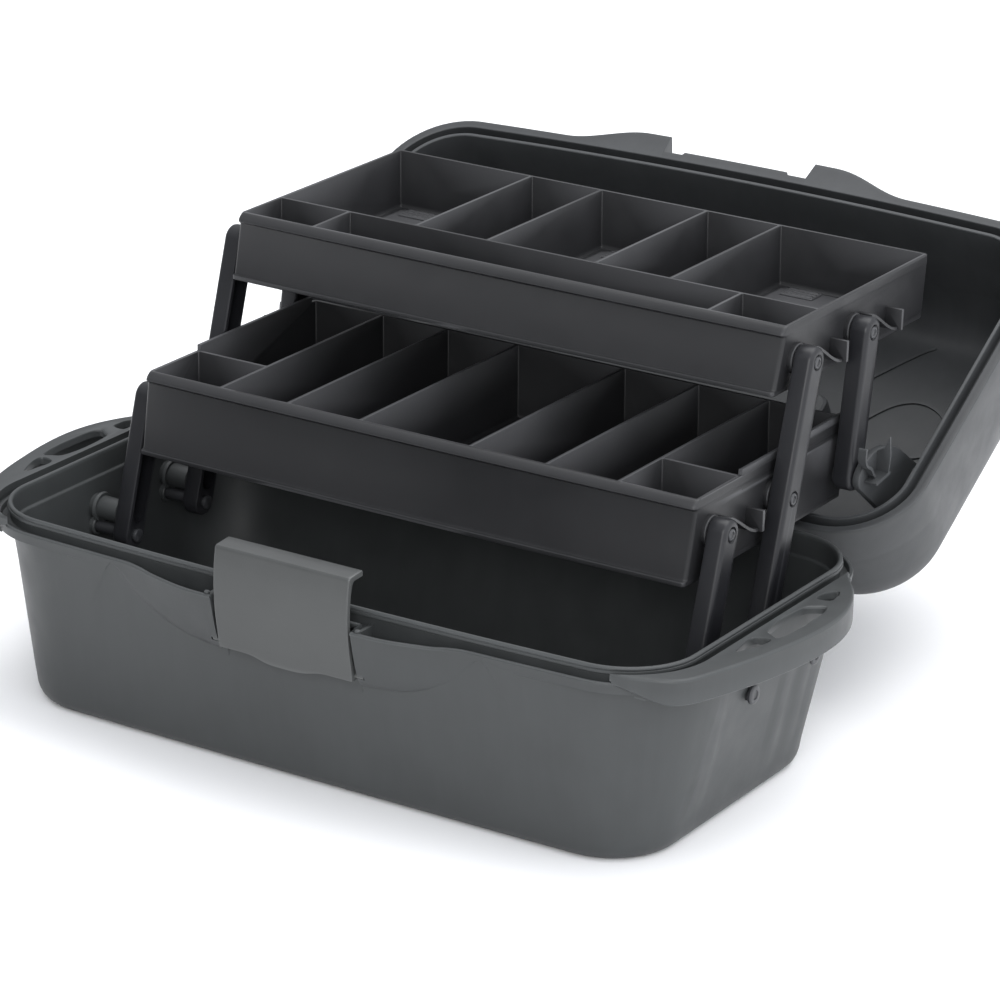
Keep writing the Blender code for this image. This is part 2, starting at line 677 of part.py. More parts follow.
def stop_hook(s, c, lift=0.0):
    """Curved rib behind a pin that ends in an upright tab; the arm comes to rest under it."""
    rib = fat([(c[0] + y, c[1] + z + lift) for y, z in HOOK], 0.6, 4)
    ob = prism_x("rib", rib, s * (TRAY_HALF - 0.8), s * 133.2)
    add(ob, box("tab", *sorted((s * (TRAY_HALF - 0.8), s * 135.4)), c[0] + 29.1, c[0] + 30.7,
                c[1] - 8.4 + lift, c[1] + 0.2 + lift))
    return ob


def lower_tray():
    t = LOW_TRAY
    ob = tray_blank("lower_tray", t)
    top, bot = t["top"], t["top"] - t["h"]
    w = TRAY_WALL
    y0, y1 = t["y0"] + w, t["y1"] - w
    cols = [-TRAY_HALF + w, -92.8, -60.3, -25.65, 25.65, 60.3, 92.8, TRAY_HALF - w]
    for i in range(7):
        a = cols[i] + (0.0 if i == 0 else 0.8)
        b = cols[i + 1] - (0.0 if i == 6 else 0.8)
        if i in (0, 6):
            m = 26.9
            cut(ob, pocket("p", a, b, y0, m - 0.8, bot + 2.0, top + 1, lean0=t["lean"] * 0.92))
            cut(ob, pocket("p", a, b, m + 0.8, y1, bot + 2.0, top + 1))
        else:
            cut(ob, pocket("p", a, b, y0, y1, bot + 2.0, top + 1, lean0=t["lean"] * 0.92))
    # end wall step towards the rear, and pin holes
    for s in (1, -1):
        add(ob, box("step", *sorted((s * (TRAY_HALF - w), s * (TRAY_HALF - 0.05))),
                    27.7, t["y1"] - 4.5, top - 6.0, top + 2.4))
        add(ob, stop_hook(s, T_FRONT))
        for c in (T_FRONT, T_REAR):
            cut(ob, rod_x("hole", c, [(s * 120.0, PIN_R + 0.25), (s * 134.0, PIN_R + 0.25)], 18))
    return finish(ob, (0, *T_REAR))


def upper_tray():
    t = UP_TRAY
    ob = tray_blank("upper_tray", t)
    top, bot = t["top"], t["top"] - t["h"]
    w = TRAY_WALL
    y0, y1 = t["y0"] + w, t["y1"] - w
    m = 85.4
    cols = [-TRAY_HALF + w, -60.3, -25.65, 25.65, 60.3, TRAY_HALF - w]
    for i in range(5):
        a = cols[i] + (0.0 if i == 0 else 0.8)
        b = cols[i + 1] - (0.0 if i == 4 else 0.8)
        cut(ob, pocket("p", a, b, m + 0.8, y1, bot + 2.0, top + 1))
    cols = [-TRAY_HALF + w, -92.8, 92.8, TRAY_HALF - w]
    for i in range(3):
        a = cols[i] + (0.0 if i == 0 else 0.8)
        b = cols[i + 1] - (0.0 if i == 2 else 0.8)
        cut(ob, pocket("p", a, b, y0, m - 0.8, bot + 2.0, top + 1, lean0=t["lean"] * 0.92))
    for s in (1, -1):
        for c in (U_FRONT, U_REAR):
            add(ob, stop_hook(s, c, 0.9 if c is U_REAR else 0.0))
            cut(ob, rod_x("hole", c, [(s * 120.0, PIN_R + 0.25), (s * 134.0, PIN_R + 0.25)], 18))
    return finish(ob, (0, *U_FRONT))


# ------------------------------------------------------------------- build
base_bin()
lid_shell()
carry_handle()
front_latch()
lower_tray()
upper_tray()

for s, side in ((1, "right"), (-1, "left")):
    finish(arm("short_arm_" + side, [B_FRONT, T_FRONT], s, [B_FRONT, T_FRONT]), (0, *B_FRONT))
    finish(arm("long_arm_" + side, [B_REAR, U_FRONT], s, [B_REAR, T_REAR, U_FRONT]), (0, *B_REAR))
    # the rear link carries its cam pin, so the hole there is a plain bore
    finish(arm("rear_link_" + side, [P_OPEN, U_REAR], s, [P_OPEN, U_REAR]), (0, *U_REAR))

    for nm, c in (("base_pin_front_", B_FRONT), ("base_pin_rear_", B_REAR)):
        finish(pin(nm + side, c, s, 158.1, 127.4, head_out=True), (0, *c))
    for nm, c in (("lower_tray_pin_front_", T_FRONT), ("lower_tray_pin_rear_", T_REAR),
                  ("upper_tray_pin_front_", U_FRONT), ("upper_tray_pin_rear_", U_REAR)):
        finish(pin(nm + side, c, s, 125.9, 138.45), (0, *c))
    finish(pin("cam_pin_" + side, P_OPEN, s, 130.1, 142.6), (0, *P_OPEN))

    finish(rod_x("lid_hinge_pin_" + side, HINGE,
                 [(s * 82.2, 1.0), (s * 82.6, 1.3), (s * 107.4, 1.3), (s * 107.8, 1.0)],
                 16, M_STEEL), (0, *HINGE))
    hp = rod_x("handle_pin_" + side, HANDLE_PIVOT,
               [(s * 50.4, 1.1), (s * 50.8, 1.45), (s * 64.6, 1.45), (s * 65.0, 1.1)], 16, M_STEEL)
    finish(hp, (0, *rot(HANDLE_PIVOT, -LID_OPEN, HINGE)), turn=-LID_OPEN)
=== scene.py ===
import json
import math
import bpy
import bmesh
from mathutils import Matrix, Vector


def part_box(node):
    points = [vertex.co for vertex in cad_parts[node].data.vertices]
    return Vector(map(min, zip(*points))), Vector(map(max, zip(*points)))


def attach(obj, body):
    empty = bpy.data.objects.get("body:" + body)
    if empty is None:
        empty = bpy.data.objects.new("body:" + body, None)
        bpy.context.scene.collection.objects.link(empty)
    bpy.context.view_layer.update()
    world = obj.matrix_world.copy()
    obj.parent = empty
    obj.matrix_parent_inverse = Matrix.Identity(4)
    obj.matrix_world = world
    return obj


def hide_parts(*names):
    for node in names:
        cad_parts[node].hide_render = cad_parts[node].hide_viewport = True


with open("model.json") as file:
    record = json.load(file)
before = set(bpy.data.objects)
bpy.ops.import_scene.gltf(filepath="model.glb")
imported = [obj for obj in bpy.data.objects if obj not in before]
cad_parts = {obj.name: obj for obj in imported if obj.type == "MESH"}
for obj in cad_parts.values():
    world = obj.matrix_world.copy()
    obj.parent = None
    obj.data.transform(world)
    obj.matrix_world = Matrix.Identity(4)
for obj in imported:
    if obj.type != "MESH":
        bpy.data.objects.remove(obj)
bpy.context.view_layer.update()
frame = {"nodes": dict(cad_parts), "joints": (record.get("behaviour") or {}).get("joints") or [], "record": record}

MM = 0.001

# ------------------------------------------------------------ frame numbers
J = {j["name"]: j for j in frame["joints"]}


def yz(name):
    p = J[name]["pos_m"]
    return (p[1] / MM, p[2] / MM)


HINGE = yz("lid_hinge")
LID_OPEN = J["lid_hinge"]["range_deg"][1]
B_FRONT = yz("short_arm_pivot_left")
B_REAR = yz("long_arm_pivot_left")
T_REAR = yz("lower_tray_pivot")
U_FRONT = yz("upper_tray_pivot")
U_REAR = yz("rear_link_pivot_left")
LATCH_PIVOT = yz("latch_hinge")
T_FRONT = (B_FRONT[0] + T_REAR[0] - B_REAR[0], T_REAR[1])
SWING = LID_OPEN * next(c["ratio"] for c in frame["record"]["behaviour"]["couplings"]
                        if c["joint"] == "long_arm_pivot_left")
LINK_SWING = LID_OPEN * next(c["ratio"] for c in frame["record"]["behaviour"]["couplings"]
                             if c["joint"] == "rear_link_pivot_left")
_lo, _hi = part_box("cam_pin_left")
P_OPEN = ((_lo.y + _hi.y) / 2 / MM, (_lo.z + _hi.z) / 2 / MM)
TRAY_HALF = 128.25
HALF_X, FRONT_Y, REAR_Y = 156.1, -83.0, 83.7
FRONT_BOW, CORNER_R = 3.0, 31.0
STRAIGHT_X = HALF_X - CORNER_R
REAR_FLARE = 3.0 / 4.6
RIDGE_TOP, RIM_OUT, RIM_TOP = 83.4, 4.6, 78.7
LID_TOP, LIP_Z = 144.1, 79.1
GAP_HALF, SCOOP_OUT, SCOOP_TOP, SCOOP_END = 32.2, 6.5, 77.6, 80.0
ARM_X0, ARM_X1, ARM_W = 130.4, 138.2, 12.0
PLATE_X0, PLATE_X1 = 138.7, 141.7
LOW_TRAY = dict(top=123.7, h=33.5, y0=-5.7, y1=112.1, lean=7.1)
UP_TRAY = dict(top=175.2, h=27.0, y0=58.1, y1=175.9, lean=7.4)
LATCH_HALF = 30.8
PIN_R = 2.5
HANDLE_PIVOT = (10.5, 140.3)


def rot(p, deg, c=(0.0, 0.0)):
    a = math.radians(deg)
    y, z = p[0] - c[0], p[1] - c[1]
    return (c[0] + y * math.cos(a) - z * math.sin(a), c[1] + y * math.sin(a) + z * math.cos(a))


def smooth(t):
    t = max(0.0, min(1.0, t))
    return t * t * (3 - 2 * t)


def interp(x, table):
    if x <= table[0][0]:
        return table[0][1]
    for (a, va), (b, vb) in zip(table, table[1:]):
        if x <= b:
            return va + (vb - va) * (x - a) / (b - a)
    return table[-1][1]


# ---------------------------------------------------------------- materials
def plastic(name, rgb, rough=0.45, grain=900.0, bump=0.035, mottle=0.10, wear_and_highlight=0.25,
            hollow_shade=0.10, streak=0.0, spec=0.5):
    """Moulded polypropylene: fine spark-eroded grain, slow colour drift,
    edges lightened (partly polished wear, partly a painted highlight), painted shade darkening the hollows,
    optional draw streaks."""
    m = bpy.data.materials.new(name)
    m.use_nodes = True
    nt = m.node_tree
    N, L = nt.nodes, nt.links
    b = N["Principled BSDF"]
    b.inputs["Specular IOR Level"].default_value = spec
    tc = N.new("ShaderNodeTexCoord")

    def noise(scale, detail=3.0, rough_=0.55, vec=None):
        n = N.new("ShaderNodeTexNoise")
        n.inputs["Scale"].default_value = scale
        n.inputs["Detail"].default_value = detail
        n.inputs["Roughness"].default_value = rough_
        L.new(vec or tc.outputs["Object"], n.inputs["Vector"])
        return n

    def ramp(src, a, b_, c0, c1):
        r = N.new("ShaderNodeValToRGB")
        r.color_ramp.elements[0].position = a
        r.color_ramp.elements[1].position = b_
        r.color_ramp.elements[0].color = (c0, c0, c0, 1)
        r.color_ramp.elements[1].color = (c1, c1, c1, 1)
        L.new(src, r.inputs["Fac"])
        return r

    def mix(kind, fac, a, b_):
        x = N.new("ShaderNodeMixRGB")
        x.blend_type = kind
        if hasattr(fac, "is_linked"):
            L.new(fac, x.inputs["Fac"])
        else:
            x.inputs["Fac"].default_value = fac
        for s, v in ((x.inputs["Color1"], a), (x.inputs["Color2"], b_)):
            if hasattr(v, "is_linked"):
                L.new(v, s)
            else:
                s.default_value = (*v, 1.0)
        return x

    big = noise(9.0, 4.0)
    mid = noise(70.0, 3.0)
    drift = ramp(big.outputs["Fac"], 0.3, 0.7, 1.0 - mottle, 1.0 + mottle)
    fleck = ramp(mid.outputs["Fac"], 0.35, 0.65, 1.0 - mottle * 0.4, 1.0 + mottle * 0.4)
    col = mix("MULTIPLY", 1.0, rgb, drift.outputs["Color"])
    col = mix("MULTIPLY", 1.0, col.outputs["Color"], fleck.outputs["Color"])
    if streak > 0:
        mp = N.new("ShaderNodeMapping")
        mp.inputs["Scale"].default_value = (1.0, 1.0, 0.03)
        L.new(tc.outputs["Object"], mp.inputs["Vector"])
        st = noise(210.0, 2.0, 0.6, mp.outputs["Vector"])
        sr = ramp(st.outputs["Fac"], 0.3, 0.7, 1.0 - streak, 1.0 + streak)
        col = mix("MULTIPLY", 1.0, col.outputs["Color"], sr.outputs["Color"])
    geo = N.new("ShaderNodeNewGeometry")
    # Convex edges lightened toward a bright colour: partly polished wear, partly a painted highlight on the rims.
    edge = ramp(geo.outputs["Pointiness"], 0.52, 0.60, 0.0, wear_and_highlight)
    highlight_rgb = tuple(min(1.0, c * 2.6 + 0.02) for c in rgb)
    col = mix("MIX", edge.outputs["Color"], col.outputs["Color"], highlight_rgb)
    # Hollows darkened toward 0.55 of the colour: painted shade in creases and corners.
    hollow_shade_mask = ramp(geo.outputs["Pointiness"], 0.42, 0.49, hollow_shade, 0.0)
    col = mix("MIX", hollow_shade_mask.outputs["Color"], col.outputs["Color"],
              tuple(c * 0.55 for c in rgb))
    L.new(col.outputs["Color"], b.inputs["Base Color"])

    rr = ramp(mid.outputs["Fac"], 0.3, 0.7, rough - 0.05, rough + 0.06)
    L.new(rr.outputs["Color"], b.inputs["Roughness"])

    g1 = noise(grain, 2.0, 0.5)
    g2 = noise(grain * 2.7, 1.0, 0.5)
    gm = mix("MIX", 0.4, g1.outputs["Color"], g2.outputs["Color"])
    bp = N.new("ShaderNodeBump")
    bp.inputs["Strength"].default_value = bump * 4
    bp.inputs["Distance"].default_value = 0.00025
    L.new(gm.outputs["Color"], bp.inputs["Height"])
    wob = noise(26.0, 2.0)
    bp2 = N.new("ShaderNodeBump")
    bp2.inputs["Strength"].default_value = 0.10
    bp2.inputs["Distance"].default_value = 0.0008
    L.new(wob.outputs["Fac"], bp2.inputs["Height"])
    L.new(bp.outputs["Normal"], bp2.inputs["Normal"])
    L.new(bp2.outputs["Normal"], b.inputs["Normal"])
    return m


def steel(name):
    m = plastic(name, (0.5, 0.5, 0.5), 0.3, 1500, 0.02, 0.05, 0.3)
    m.node_tree.nodes["Principled BSDF"].inputs["Metallic"].default_value = 1.0
    return m


M_BASE = plastic("base_plastic", (0.0382, 0.0410, 0.0418), 0.46, streak=0.03, spec=0.38)
M_LID = plastic("lid_plastic", (0.0385, 0.0405, 0.0425), 0.46, streak=0.05, spec=0.36)
# Trays and arms get a stronger painted edge highlight (edge lightening).
M_TRAY = plastic("tray_plastic", (0.0165, 0.0167, 0.0180), 0.40, wear_and_highlight=1.0, spec=0.34)
M_ARM = plastic("arm_plastic", (0.0092, 0.0095, 0.0112), 0.34, wear_and_highlight=0.8, spec=0.30)
M_LATCH = plastic("latch_plastic", (0.0500, 0.0522, 0.0518), 0.40, spec=0.45)
M_PIN = plastic("pin_plastic", (0.030, 0.031, 0.034), 0.36, spec=0.4)
M_STEEL = steel("steel_rod")


# ------------------------------------------------------------ mesh building
def solid(name, verts, faces):
    me = bpy.data.meshes.new(name)
    me.from_pydata([Vector(v) * MM for v in verts], [], faces)
    bm = bmesh.new()
    bm.from_mesh(me)
    bmesh.ops.recalc_face_normals(bm, faces=bm.faces)
    bm.to_mesh(me)
    bm.free()
    ob = bpy.data.objects.new(name, me)
    bpy.context.scene.collection.objects.link(ob)
    return ob


def loft(name, rings):
    n = len(rings[0])
    verts = [p for r in rings for p in r]
    faces = [tuple(range(n))]
    for k in range(len(rings) - 1):
        for i in range(n):
            j = (i + 1) % n
            faces.append((k * n + i, k * n + j, (k + 1) * n + j, (k + 1) * n + i))
    last = (len(rings) - 1) * n
    faces.append(tuple(last + i for i in reversed(range(n))))
    return solid(name, verts, faces)


def prism_x(name, pts, x0, x1):
    return loft(name, [[(x, y, z) for y, z in pts] for x in (x0, x1)])


def prism_z(name, pts, z0, z1):
    return loft(name, [[(x, y, z) for x, y in pts] for z in (z0, z1)])


def block(name, x0, x1, y0, y1, z0, z1):
    return prism_z(name, [(x0, y0), (x1, y0), (x1, y1), (x0, y1)], z0, z1)


def circle(c, r, n):
    return [(c[0] + r * math.cos(2 * math.pi * (i + 0.5) / n),
             c[1] + r * math.sin(2 * math.pi * (i + 0.5) / n)) for i in range(n)]


def rod_x(name, c, stations, n=48):
    return loft(name, [[(x, y, z) for y, z in circle(c, r, n)] for x, r in stations])


def applied(ob):
    dg = bpy.context.evaluated_depsgraph_get()
    me = bpy.data.meshes.new_from_object(ob.evaluated_get(dg))
    ob.modifiers.clear()
    old = ob.data
    ob.data = me
    bpy.data.meshes.remove(old)
    return ob


def combine(ob, other, op):
    mod = ob.modifiers.new("b", "BOOLEAN")
    mod.operation, mod.solver, mod.object = op, "EXACT", other
    applied(ob)
    bpy.data.objects.remove(other, do_unlink=True)


def add(ob, *others):
    for o in others:
        combine(ob, o, "UNION")


def cut(ob, *others):
    for o in others:
        combine(ob, o, "DIFFERENCE")


def bevel(ob, width, segments=2, angle=35.0):
    mod = ob.modifiers.new("edge", "BEVEL")
    mod.width = width * MM
    mod.segments = segments
    mod.limit_method = "ANGLE"
    mod.angle_limit = math.radians(angle)
    mod.use_clamp_overlap = True
    mod.harden_normals = False
    applied(ob)
    return ob


def done(ob, body, mat, nodes=(), angle=32.0, turn=None):
    me = ob.data
    if turn is not None:
        t = Matrix.Translation(Vector((0, HINGE[0], HINGE[1])) * MM)
        me.transform(t @ Matrix.Rotation(math.radians(turn), 4, "X") @ t.inverted())
    bm = bmesh.new()
    bm.from_mesh(me)
    bmesh.ops.remove_doubles(bm, verts=bm.verts, dist=2e-6)
    bmesh.ops.dissolve_degenerate(bm, dist=1e-6, edges=bm.edges)
    bm.to_mesh(me)
    bm.free()
    me.materials.clear()
    me.materials.append(mat)
    for p in me.polygons:
        p.use_smooth = True
        p.material_index = 0
    me.set_sharp_from_angle(angle=math.radians(angle))
    if nodes:
        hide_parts(*nodes)
    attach(ob, body)
    return ob


# ------------------------------------------------------------ shell outline
def span(a, b, step):
    n = max(1, int(round((b - a) / step)))
    return [a + (b - a) * i / n for i in range(n + 1)]


def bow(x):
    return FRONT_BOW * max(0.0, 1 - (x / STRAIGHT_X) ** 2)


def uniq(v):
    out = []
    for x in sorted(v):
        if not out or x - out[-1] > 0.04:
            out.append(x)
    return out


BASE_X = uniq(span(0, 30, 5) + [30.9, 31.3, 32.1, 32.2, 32.7, 33.6, 34.4, 35.1, 35.5, 35.9, 36.6]
              + span(38, 86, 2) + [90, 96, 104, 114, STRAIGHT_X])
LID_X = uniq(span(0, 24, 4) + [25.2, 25.9, 26.6, 27.2, 29, 32, 34.4, 35.0, 35.6, 36.4]
             + span(38, 88, 2.5) + [94, 104, 114, STRAIGHT_X])
CORNER_N = 16
SIDE_Y = uniq(span(-50, 51, 3.0))


def outline(off, z, xs, push=None, lift=None, side=None, shape=None):
    """Plan ring of the box; shape = extra corner radius, end, front and rear
    shifts, share of the front bow, extra radius of the rear corners."""
    dr, dx, df, db, bs = (shape or (0.0, 0.0, 0.0, 0.0, 1.0))[:5]
    rr = shape[5] if shape and len(shape) > 5 else dr
    half = []
    r = CORNER_R + off + dr
    cx = STRAIGHT_X + dx - dr
    for x in xs:
        y = FRONT_Y - df - bow(x) * bs - off - (push(x) if push else 0.0)
        px = x if x <= 84.0 else 84.0 + (x - 84.0) * (cx - 84.0) / (STRAIGHT_X - 84.0)
        half.append((px, y, lift(x) if lift else z))
    cf = FRONT_Y - df - off + r
    for i in range(1, CORNER_N + 1):
        a = math.radians(-90 + 90 * i / CORNER_N)
        w = cf + r * math.sin(a)
        e = r + (side(w) * math.cos(a) if side else 0.0)
        half.append((cx + e * math.cos(a), cf + e * math.sin(a), z))
    r2, cx2 = CORNER_R + off + rr, STRAIGHT_X + dx - rr
    ry = r2 - off + (off * REAR_FLARE if off > 0 else off)
    cr = REAR_Y + db + (off * REAR_FLARE if off > 0 else off) - ry
    c0, c1 = FRONT_Y + CORNER_R, REAR_Y - CORNER_R
    for y in SIDE_Y:
        w = cf + (y - c0) * (cr - cf) / (c1 - c0)
        half.append((cx + r + (side(w) if side else 0.0), w, z))
    for i in range(0, CORNER_N + 1):
        a = math.radians(90 * i / CORNER_N)
        w = cr + ry * math.sin(a)
        e = side(w) * math.cos(a) if side else 0.0
        half.append((cx2 + (r2 + e) * math.cos(a), cr + (ry + e) * math.sin(a), z))
    yr = half[-1][1]
    for x in (1.0, 0.87, 0.7, 0.53, 0.36, 0.18, 0.0):
        half.append((min(112.0, cx2 - 1.0) * x, yr, z))
    return half + [(-x, y, zz) for x, y, zz in reversed(half) if x > 1e-6]


# --------------------------------------------------------------------- base
SCOOP_LOW = [(GAP_HALF, 53.0), (42.0, 53.0), (48.0, 53.6), (55.0, 55.6), (62.5, 58.8),
             (69.0, 62.6), (75.0, 67.2), (SCOOP_END + 4, 77.4)]


def scoop_low(x):
    return sum(interp(x + d, SCOOP_LOW) for d in (-3, -1, 1, 3)) / 4


def scoop_edge(x):
    x = abs(x)
    if x < GAP_HALF - 0.05 or x > SCOOP_END:
        return 0.0
    t = max(0.0, x - 40.0) / (SCOOP_END - 40.0)
    return SCOOP_OUT * (0.5 + 0.5 * math.cos(math.pi * t))


def scoop_bulge(x, z):
    e = scoop_edge(x)
    low = scoop_low(abs(x))
    if e <= 0 or z <= low:
        return 0.0
    t = min(1.0, (z - low) / (SCOOP_TOP - low))
    return e * t ** (0.30 + 0.26 * smooth((abs(x) - 34.5) / 12.0))


def crease(x):
    """Height of the scoop's lower edge, run out level beyond it."""
    x = abs(x)
    if x < GAP_HALF - 0.05:
        return 53.0
    if x <= 84.0:
        return scoop_low(x)
    return 77.2 + (53.0 - 77.2) * smooth((x - 84.0) / 22.0)


def outer_off(z):
    return RIM_OUT - 10.1 * (RIM_TOP - z) / 66.7


def side_relief(y, z):
    """Shallow upright pads on the end walls, fading out low down."""
    fade = smooth((z - 10.0) / 14.0) * smooth((74.0 - z) / 4.0)
    v = 0.0
    for a, b, h in ((-44.0, -30.0, 0.55), (14.0, 23.5, 0.6), (28.5, 38.0, 0.6), (43.0, 50.0, 0.5)):
        v = max(v, h * smooth((y - a) / 2.0) * smooth((b - y) / 2.0))
    return v * fade


def wall_shape(z):
    """The corners are rounder than the rim's and the walls close in lower down."""
    t = max(0.0, min(1.0, (58.0 - z) / 46.0))
    return (13.0 - 7.6 * t, -2.2 * t, -0.9 * t, -6.6 * t, 1.0 - 0.7 * t)


def inner_shape(z):
    w = wall_shape(max(12.0, z))
    return (5.0 * max(0.0, min(1.0, (58.0 - z) / 46.0)), w[1], w[2], w[3], w[4])


def base_bin():
    rings = []
    for off, z in ((-13.6, 0.0), (-12.0, 0.12), (-10.4, 0.6), (-9.0, 1.5), (-7.8, 2.8),
                   (-6.9, 4.6), (-6.3, 6.8), (-5.95, 9.2)):
        rings.append(outline(off, z, BASE_X, shape=wall_shape(12.0)))

    def wall_ring(level, t, flange=False):
        """level: plain height below the crease; t: share of the way up from it."""
        z = level if t is None else 53.0 + 23.9 * t

        def height(x):
            c = crease(x)
            if t is None:
                return level if level <= 42.0 else 42.0 + (c - 42.0) * (level - 42.0) / 11.0
            return c + (76.9 - min(c, 76.8)) * t

        def push(x):
            h = height(x)
            o = outer_off(h)
            if abs(x) < 31.0 and 51.5 < h < 76.5:
                o = min(o, -0.2)
            return o - outer_off(z) + scoop_bulge(x, h)
        return outline(outer_off(z), z, BASE_X, push, height, lambda y: side_relief(y, z),
                       None if flange else wall_shape(z))
    for z in (12.0, 18.0, 26.0, 34.0, 42.0, 46.0, 49.5, 52.0, 53.0):
        rings.append(wall_ring(z, None))
    for t in (0.02, 0.06, 0.12, 0.19, 0.27, 0.36, 0.46, 0.57, 0.68, 0.79, 0.875, 0.885):
        rings.append(wall_ring(0.0, t))
    rings.append(wall_ring(0.0, 0.893, True))
    rings.append(wall_ring(0.0, 1.0, True))

    def top_z(x, normal):
        e = scoop_edge(x)
        return normal + (SCOOP_TOP - normal) * min(1.0, e / 2.0)

    def in_pocket(x):
        return 35.3 < abs(x) < 78.0

    def floor_z(x):
        if not in_pocket(x):
            return 76.5 if abs(x) < 33.0 or abs(x) > 40 else SCOOP_TOP - 0.25
        return min(76.5, max(60.0, scoop_low(abs(x)) + 4.0))

    def rim_ring(off, drop):
        return outline(off, RIM_TOP - drop, BASE_X, scoop_edge,
                       lambda x: top_z(x, RIM_TOP) - drop)
    for off, drop in ((4.55, 1.1), (4.6, 0.6), (4.45, 0.2), (4.15, 0.0), (3.3, 0.0), (2.95, 0.2),
                      (2.8, 0.6)):
        rings.append(rim_ring(off, drop))

    def pocket_push(x):
        if not in_pocket(x):
            return scoop_edge(x)
        z = floor_z(x)
        return outer_off(z) + scoop_bulge(x, z) - 1.9 - 2.4
    rings.append(outline(2.4, 76.5, BASE_X, pocket_push, floor_z))
    rings.append(outline(0.35, 76.5, BASE_X, None, floor_z))
    rings.append(outline(-0.75, 76.9, BASE_X, None,
                         lambda x: floor_z(x) + 0.35))
    for off, z in ((-0.8, 78.4), (-0.8, 80.2), (-0.6, 80.45), (0.1, 80.6), (0.28, 80.8),
                   (0.3, 81.3), (0.2, 81.75), (-0.15, 81.95), (-0.15, 82.15), (0.05, 82.35),
                   (0.0, 82.7), (-0.2, 83.05), (-0.55, 83.3),
                   (-1.1, RIDGE_TOP), (-1.4, 83.3), (-1.8, 82.95), (-2.08, 82.35),
                   (-2.2, 81.6), (-2.2, 74.3), (-2.35, 73.95), (-3.2, 73.6), (-3.45, 73.2),
                   (-4.5, 60.0), (-6.6, 32.0), (-8.1, 12.0), (-8.8, 8.0), (-10.2, 5.0),
                   (-12.0, 3.3), (-14.0, 2.65), (-16.5, 2.6)):
        rings.append(outline(off, z, BASE_X, shape=inner_shape(z)))
    ob = loft("base_bin_shell", rings)

    for s in (1, -1):
        for c in (B_FRONT, B_REAR):
            top = (c[0] + 2.4, c[1] + 7.4)
            post = rod_x("boss", top, [(s * x, r) for x, r in
                                       ((138.9, 4.3), (139.2, 4.75), (139.8, 4.9), (148.2, 5.0),
                                        (148.21, 6.2), (149.5, 6.4), (149.6, 5.3), (153.5, 5.4))], 40)
            add(post, rod_x("collar", c, [(s * 149.0, 3.7), (s * 149.4, 4.0), (s * 154.0, 4.4)], 32))
            add(post, prism_x("web", fat([c, top], 1.1, 6), s * 146.0, s * 153.6))
            add(ob, post)
        for a, b in ((83.0, 91.0), (99.0, 107.0)):
            k = rod_x("knuckle", HINGE, [(s * a, 2.7), (s * (a + 0.3), 3.0),
                                         (s * (b - 0.3), 3.0), (s * b, 2.7)], 32)
            add(k, block("web", *sorted((s * (a + 0.4), s * (b - 0.4))), 84.6, 89.2, 73.0, RIM_TOP))
            add(ob, k)
        # small peg on the scoop's inner corner
        add(ob, rod_peg(s * 34.6, -94.9, 76.6, 78.7, 1.15))
        add(ob, ear(s))
    for s in (1, -1):
        for c in (B_FRONT, B_REAR):
            cut(ob, rod_x("hole", c, [(s * 124.0, 2.85), (s * 166.0, 2.85)], 32))
        cut(ob, rod_x("hole", HINGE, [(s * 80.0, 1.6), (s * 110.0, 1.6)], 20))
        cut(ob, rod_x("hole", LATCH_PIVOT, [(s * 31.0, 1.2), (s * 35.3, 1.2)], 20))
    return done(ob, "base", M_BASE, ["base_bin"], angle=19)


def rod_peg(x, y, z0, z1, r):
    st = [(z0, r), (z1 - 0.4, r), (z1 - 0.1, r * 0.75), (z1, r * 0.4)]
    return loft("peg", [[(x + rr * math.cos(2 * math.pi * i / 20),
                          y + rr * math.sin(2 * math.pi * i / 20), z) for i in range(20)]
                        for z, rr in st])


EAR_EDGE = [(-85.4, 139.3), (-84.3, 143.6), (-82.8, 148.4), (-80.9, 153.4), (-78.8, 158.2),
            (-76.2, 161.8), (-72.0, 165.0), (-64.0, 168.0), (-52.0, 171.7), (-39.0, 175.2),
            (-25.8, 177.8), (-12.0, 180.0), (2.0, 181.1), (14.0, 180.6), (25.0, 178.4),
            (34.0, 175.0), (41.0, 171.3), (47.0, 167.3), (51.5, 163.9), (54.5, 162.0),
            (56.2, 161.35)]
EAR_SLOTS = [
    [(165.6, -39.5), (164.2, -33), (163.5, -27.2), (164.9, -23.3), (169.8, -22.2),
     (170.6, -26), (168.9, -32.6)],
    [(165.2, -15), (163.9, -8.5), (163.6, -1.8), (164.0, 6.5), (165, 13.7), (168, 16.6),
     (171.2, 18.1), (173.1, 13.3), (173.6, 3), (173.5, -7), (172, -18.2), (168.3, -17.2)],
    [(164.1, 24.6), (164.2, 31), (165.6, 33.8), (167.6, 35.5), (169.3, 33.0), (169.8, 30.0),
     (169.5, 25.3)]]


def rim_x(y, off):
    r = CORNER_R + off
    cy = FRONT_Y + CORNER_R
    if y < cy:
        return STRAIGHT_X + math.sqrt(max(0.0, r * r - (cy - y) ** 2))
    cy = REAR_Y - CORNER_R
    if y > cy:
        return STRAIGHT_X + math.sqrt(max(0.0, r * r - (y - cy) ** 2))
    return HALF_X + off


def spline(pts, n):
    """Catmull-Rom points through an open list."""
    out = []
    m = len(pts)
    for i in range(m - 1):
        p0, p1, p2, p3 = pts[max(0, i - 1)], pts[i], pts[i + 1], pts[min(m - 1, i + 2)]
        for k in range(n):
            t = k / n
            out.append(tuple(0.5 * ((2 * b) + (c - a) * t + (2 * a - 5 * b + 4 * c - d) * t * t
                                    + (3 * b - a - 3 * c + d) * t ** 3)
                             for a, b, c, d in zip(p0, p1, p2, p3)))
    out.append(tuple(pts[-1]))
    return out


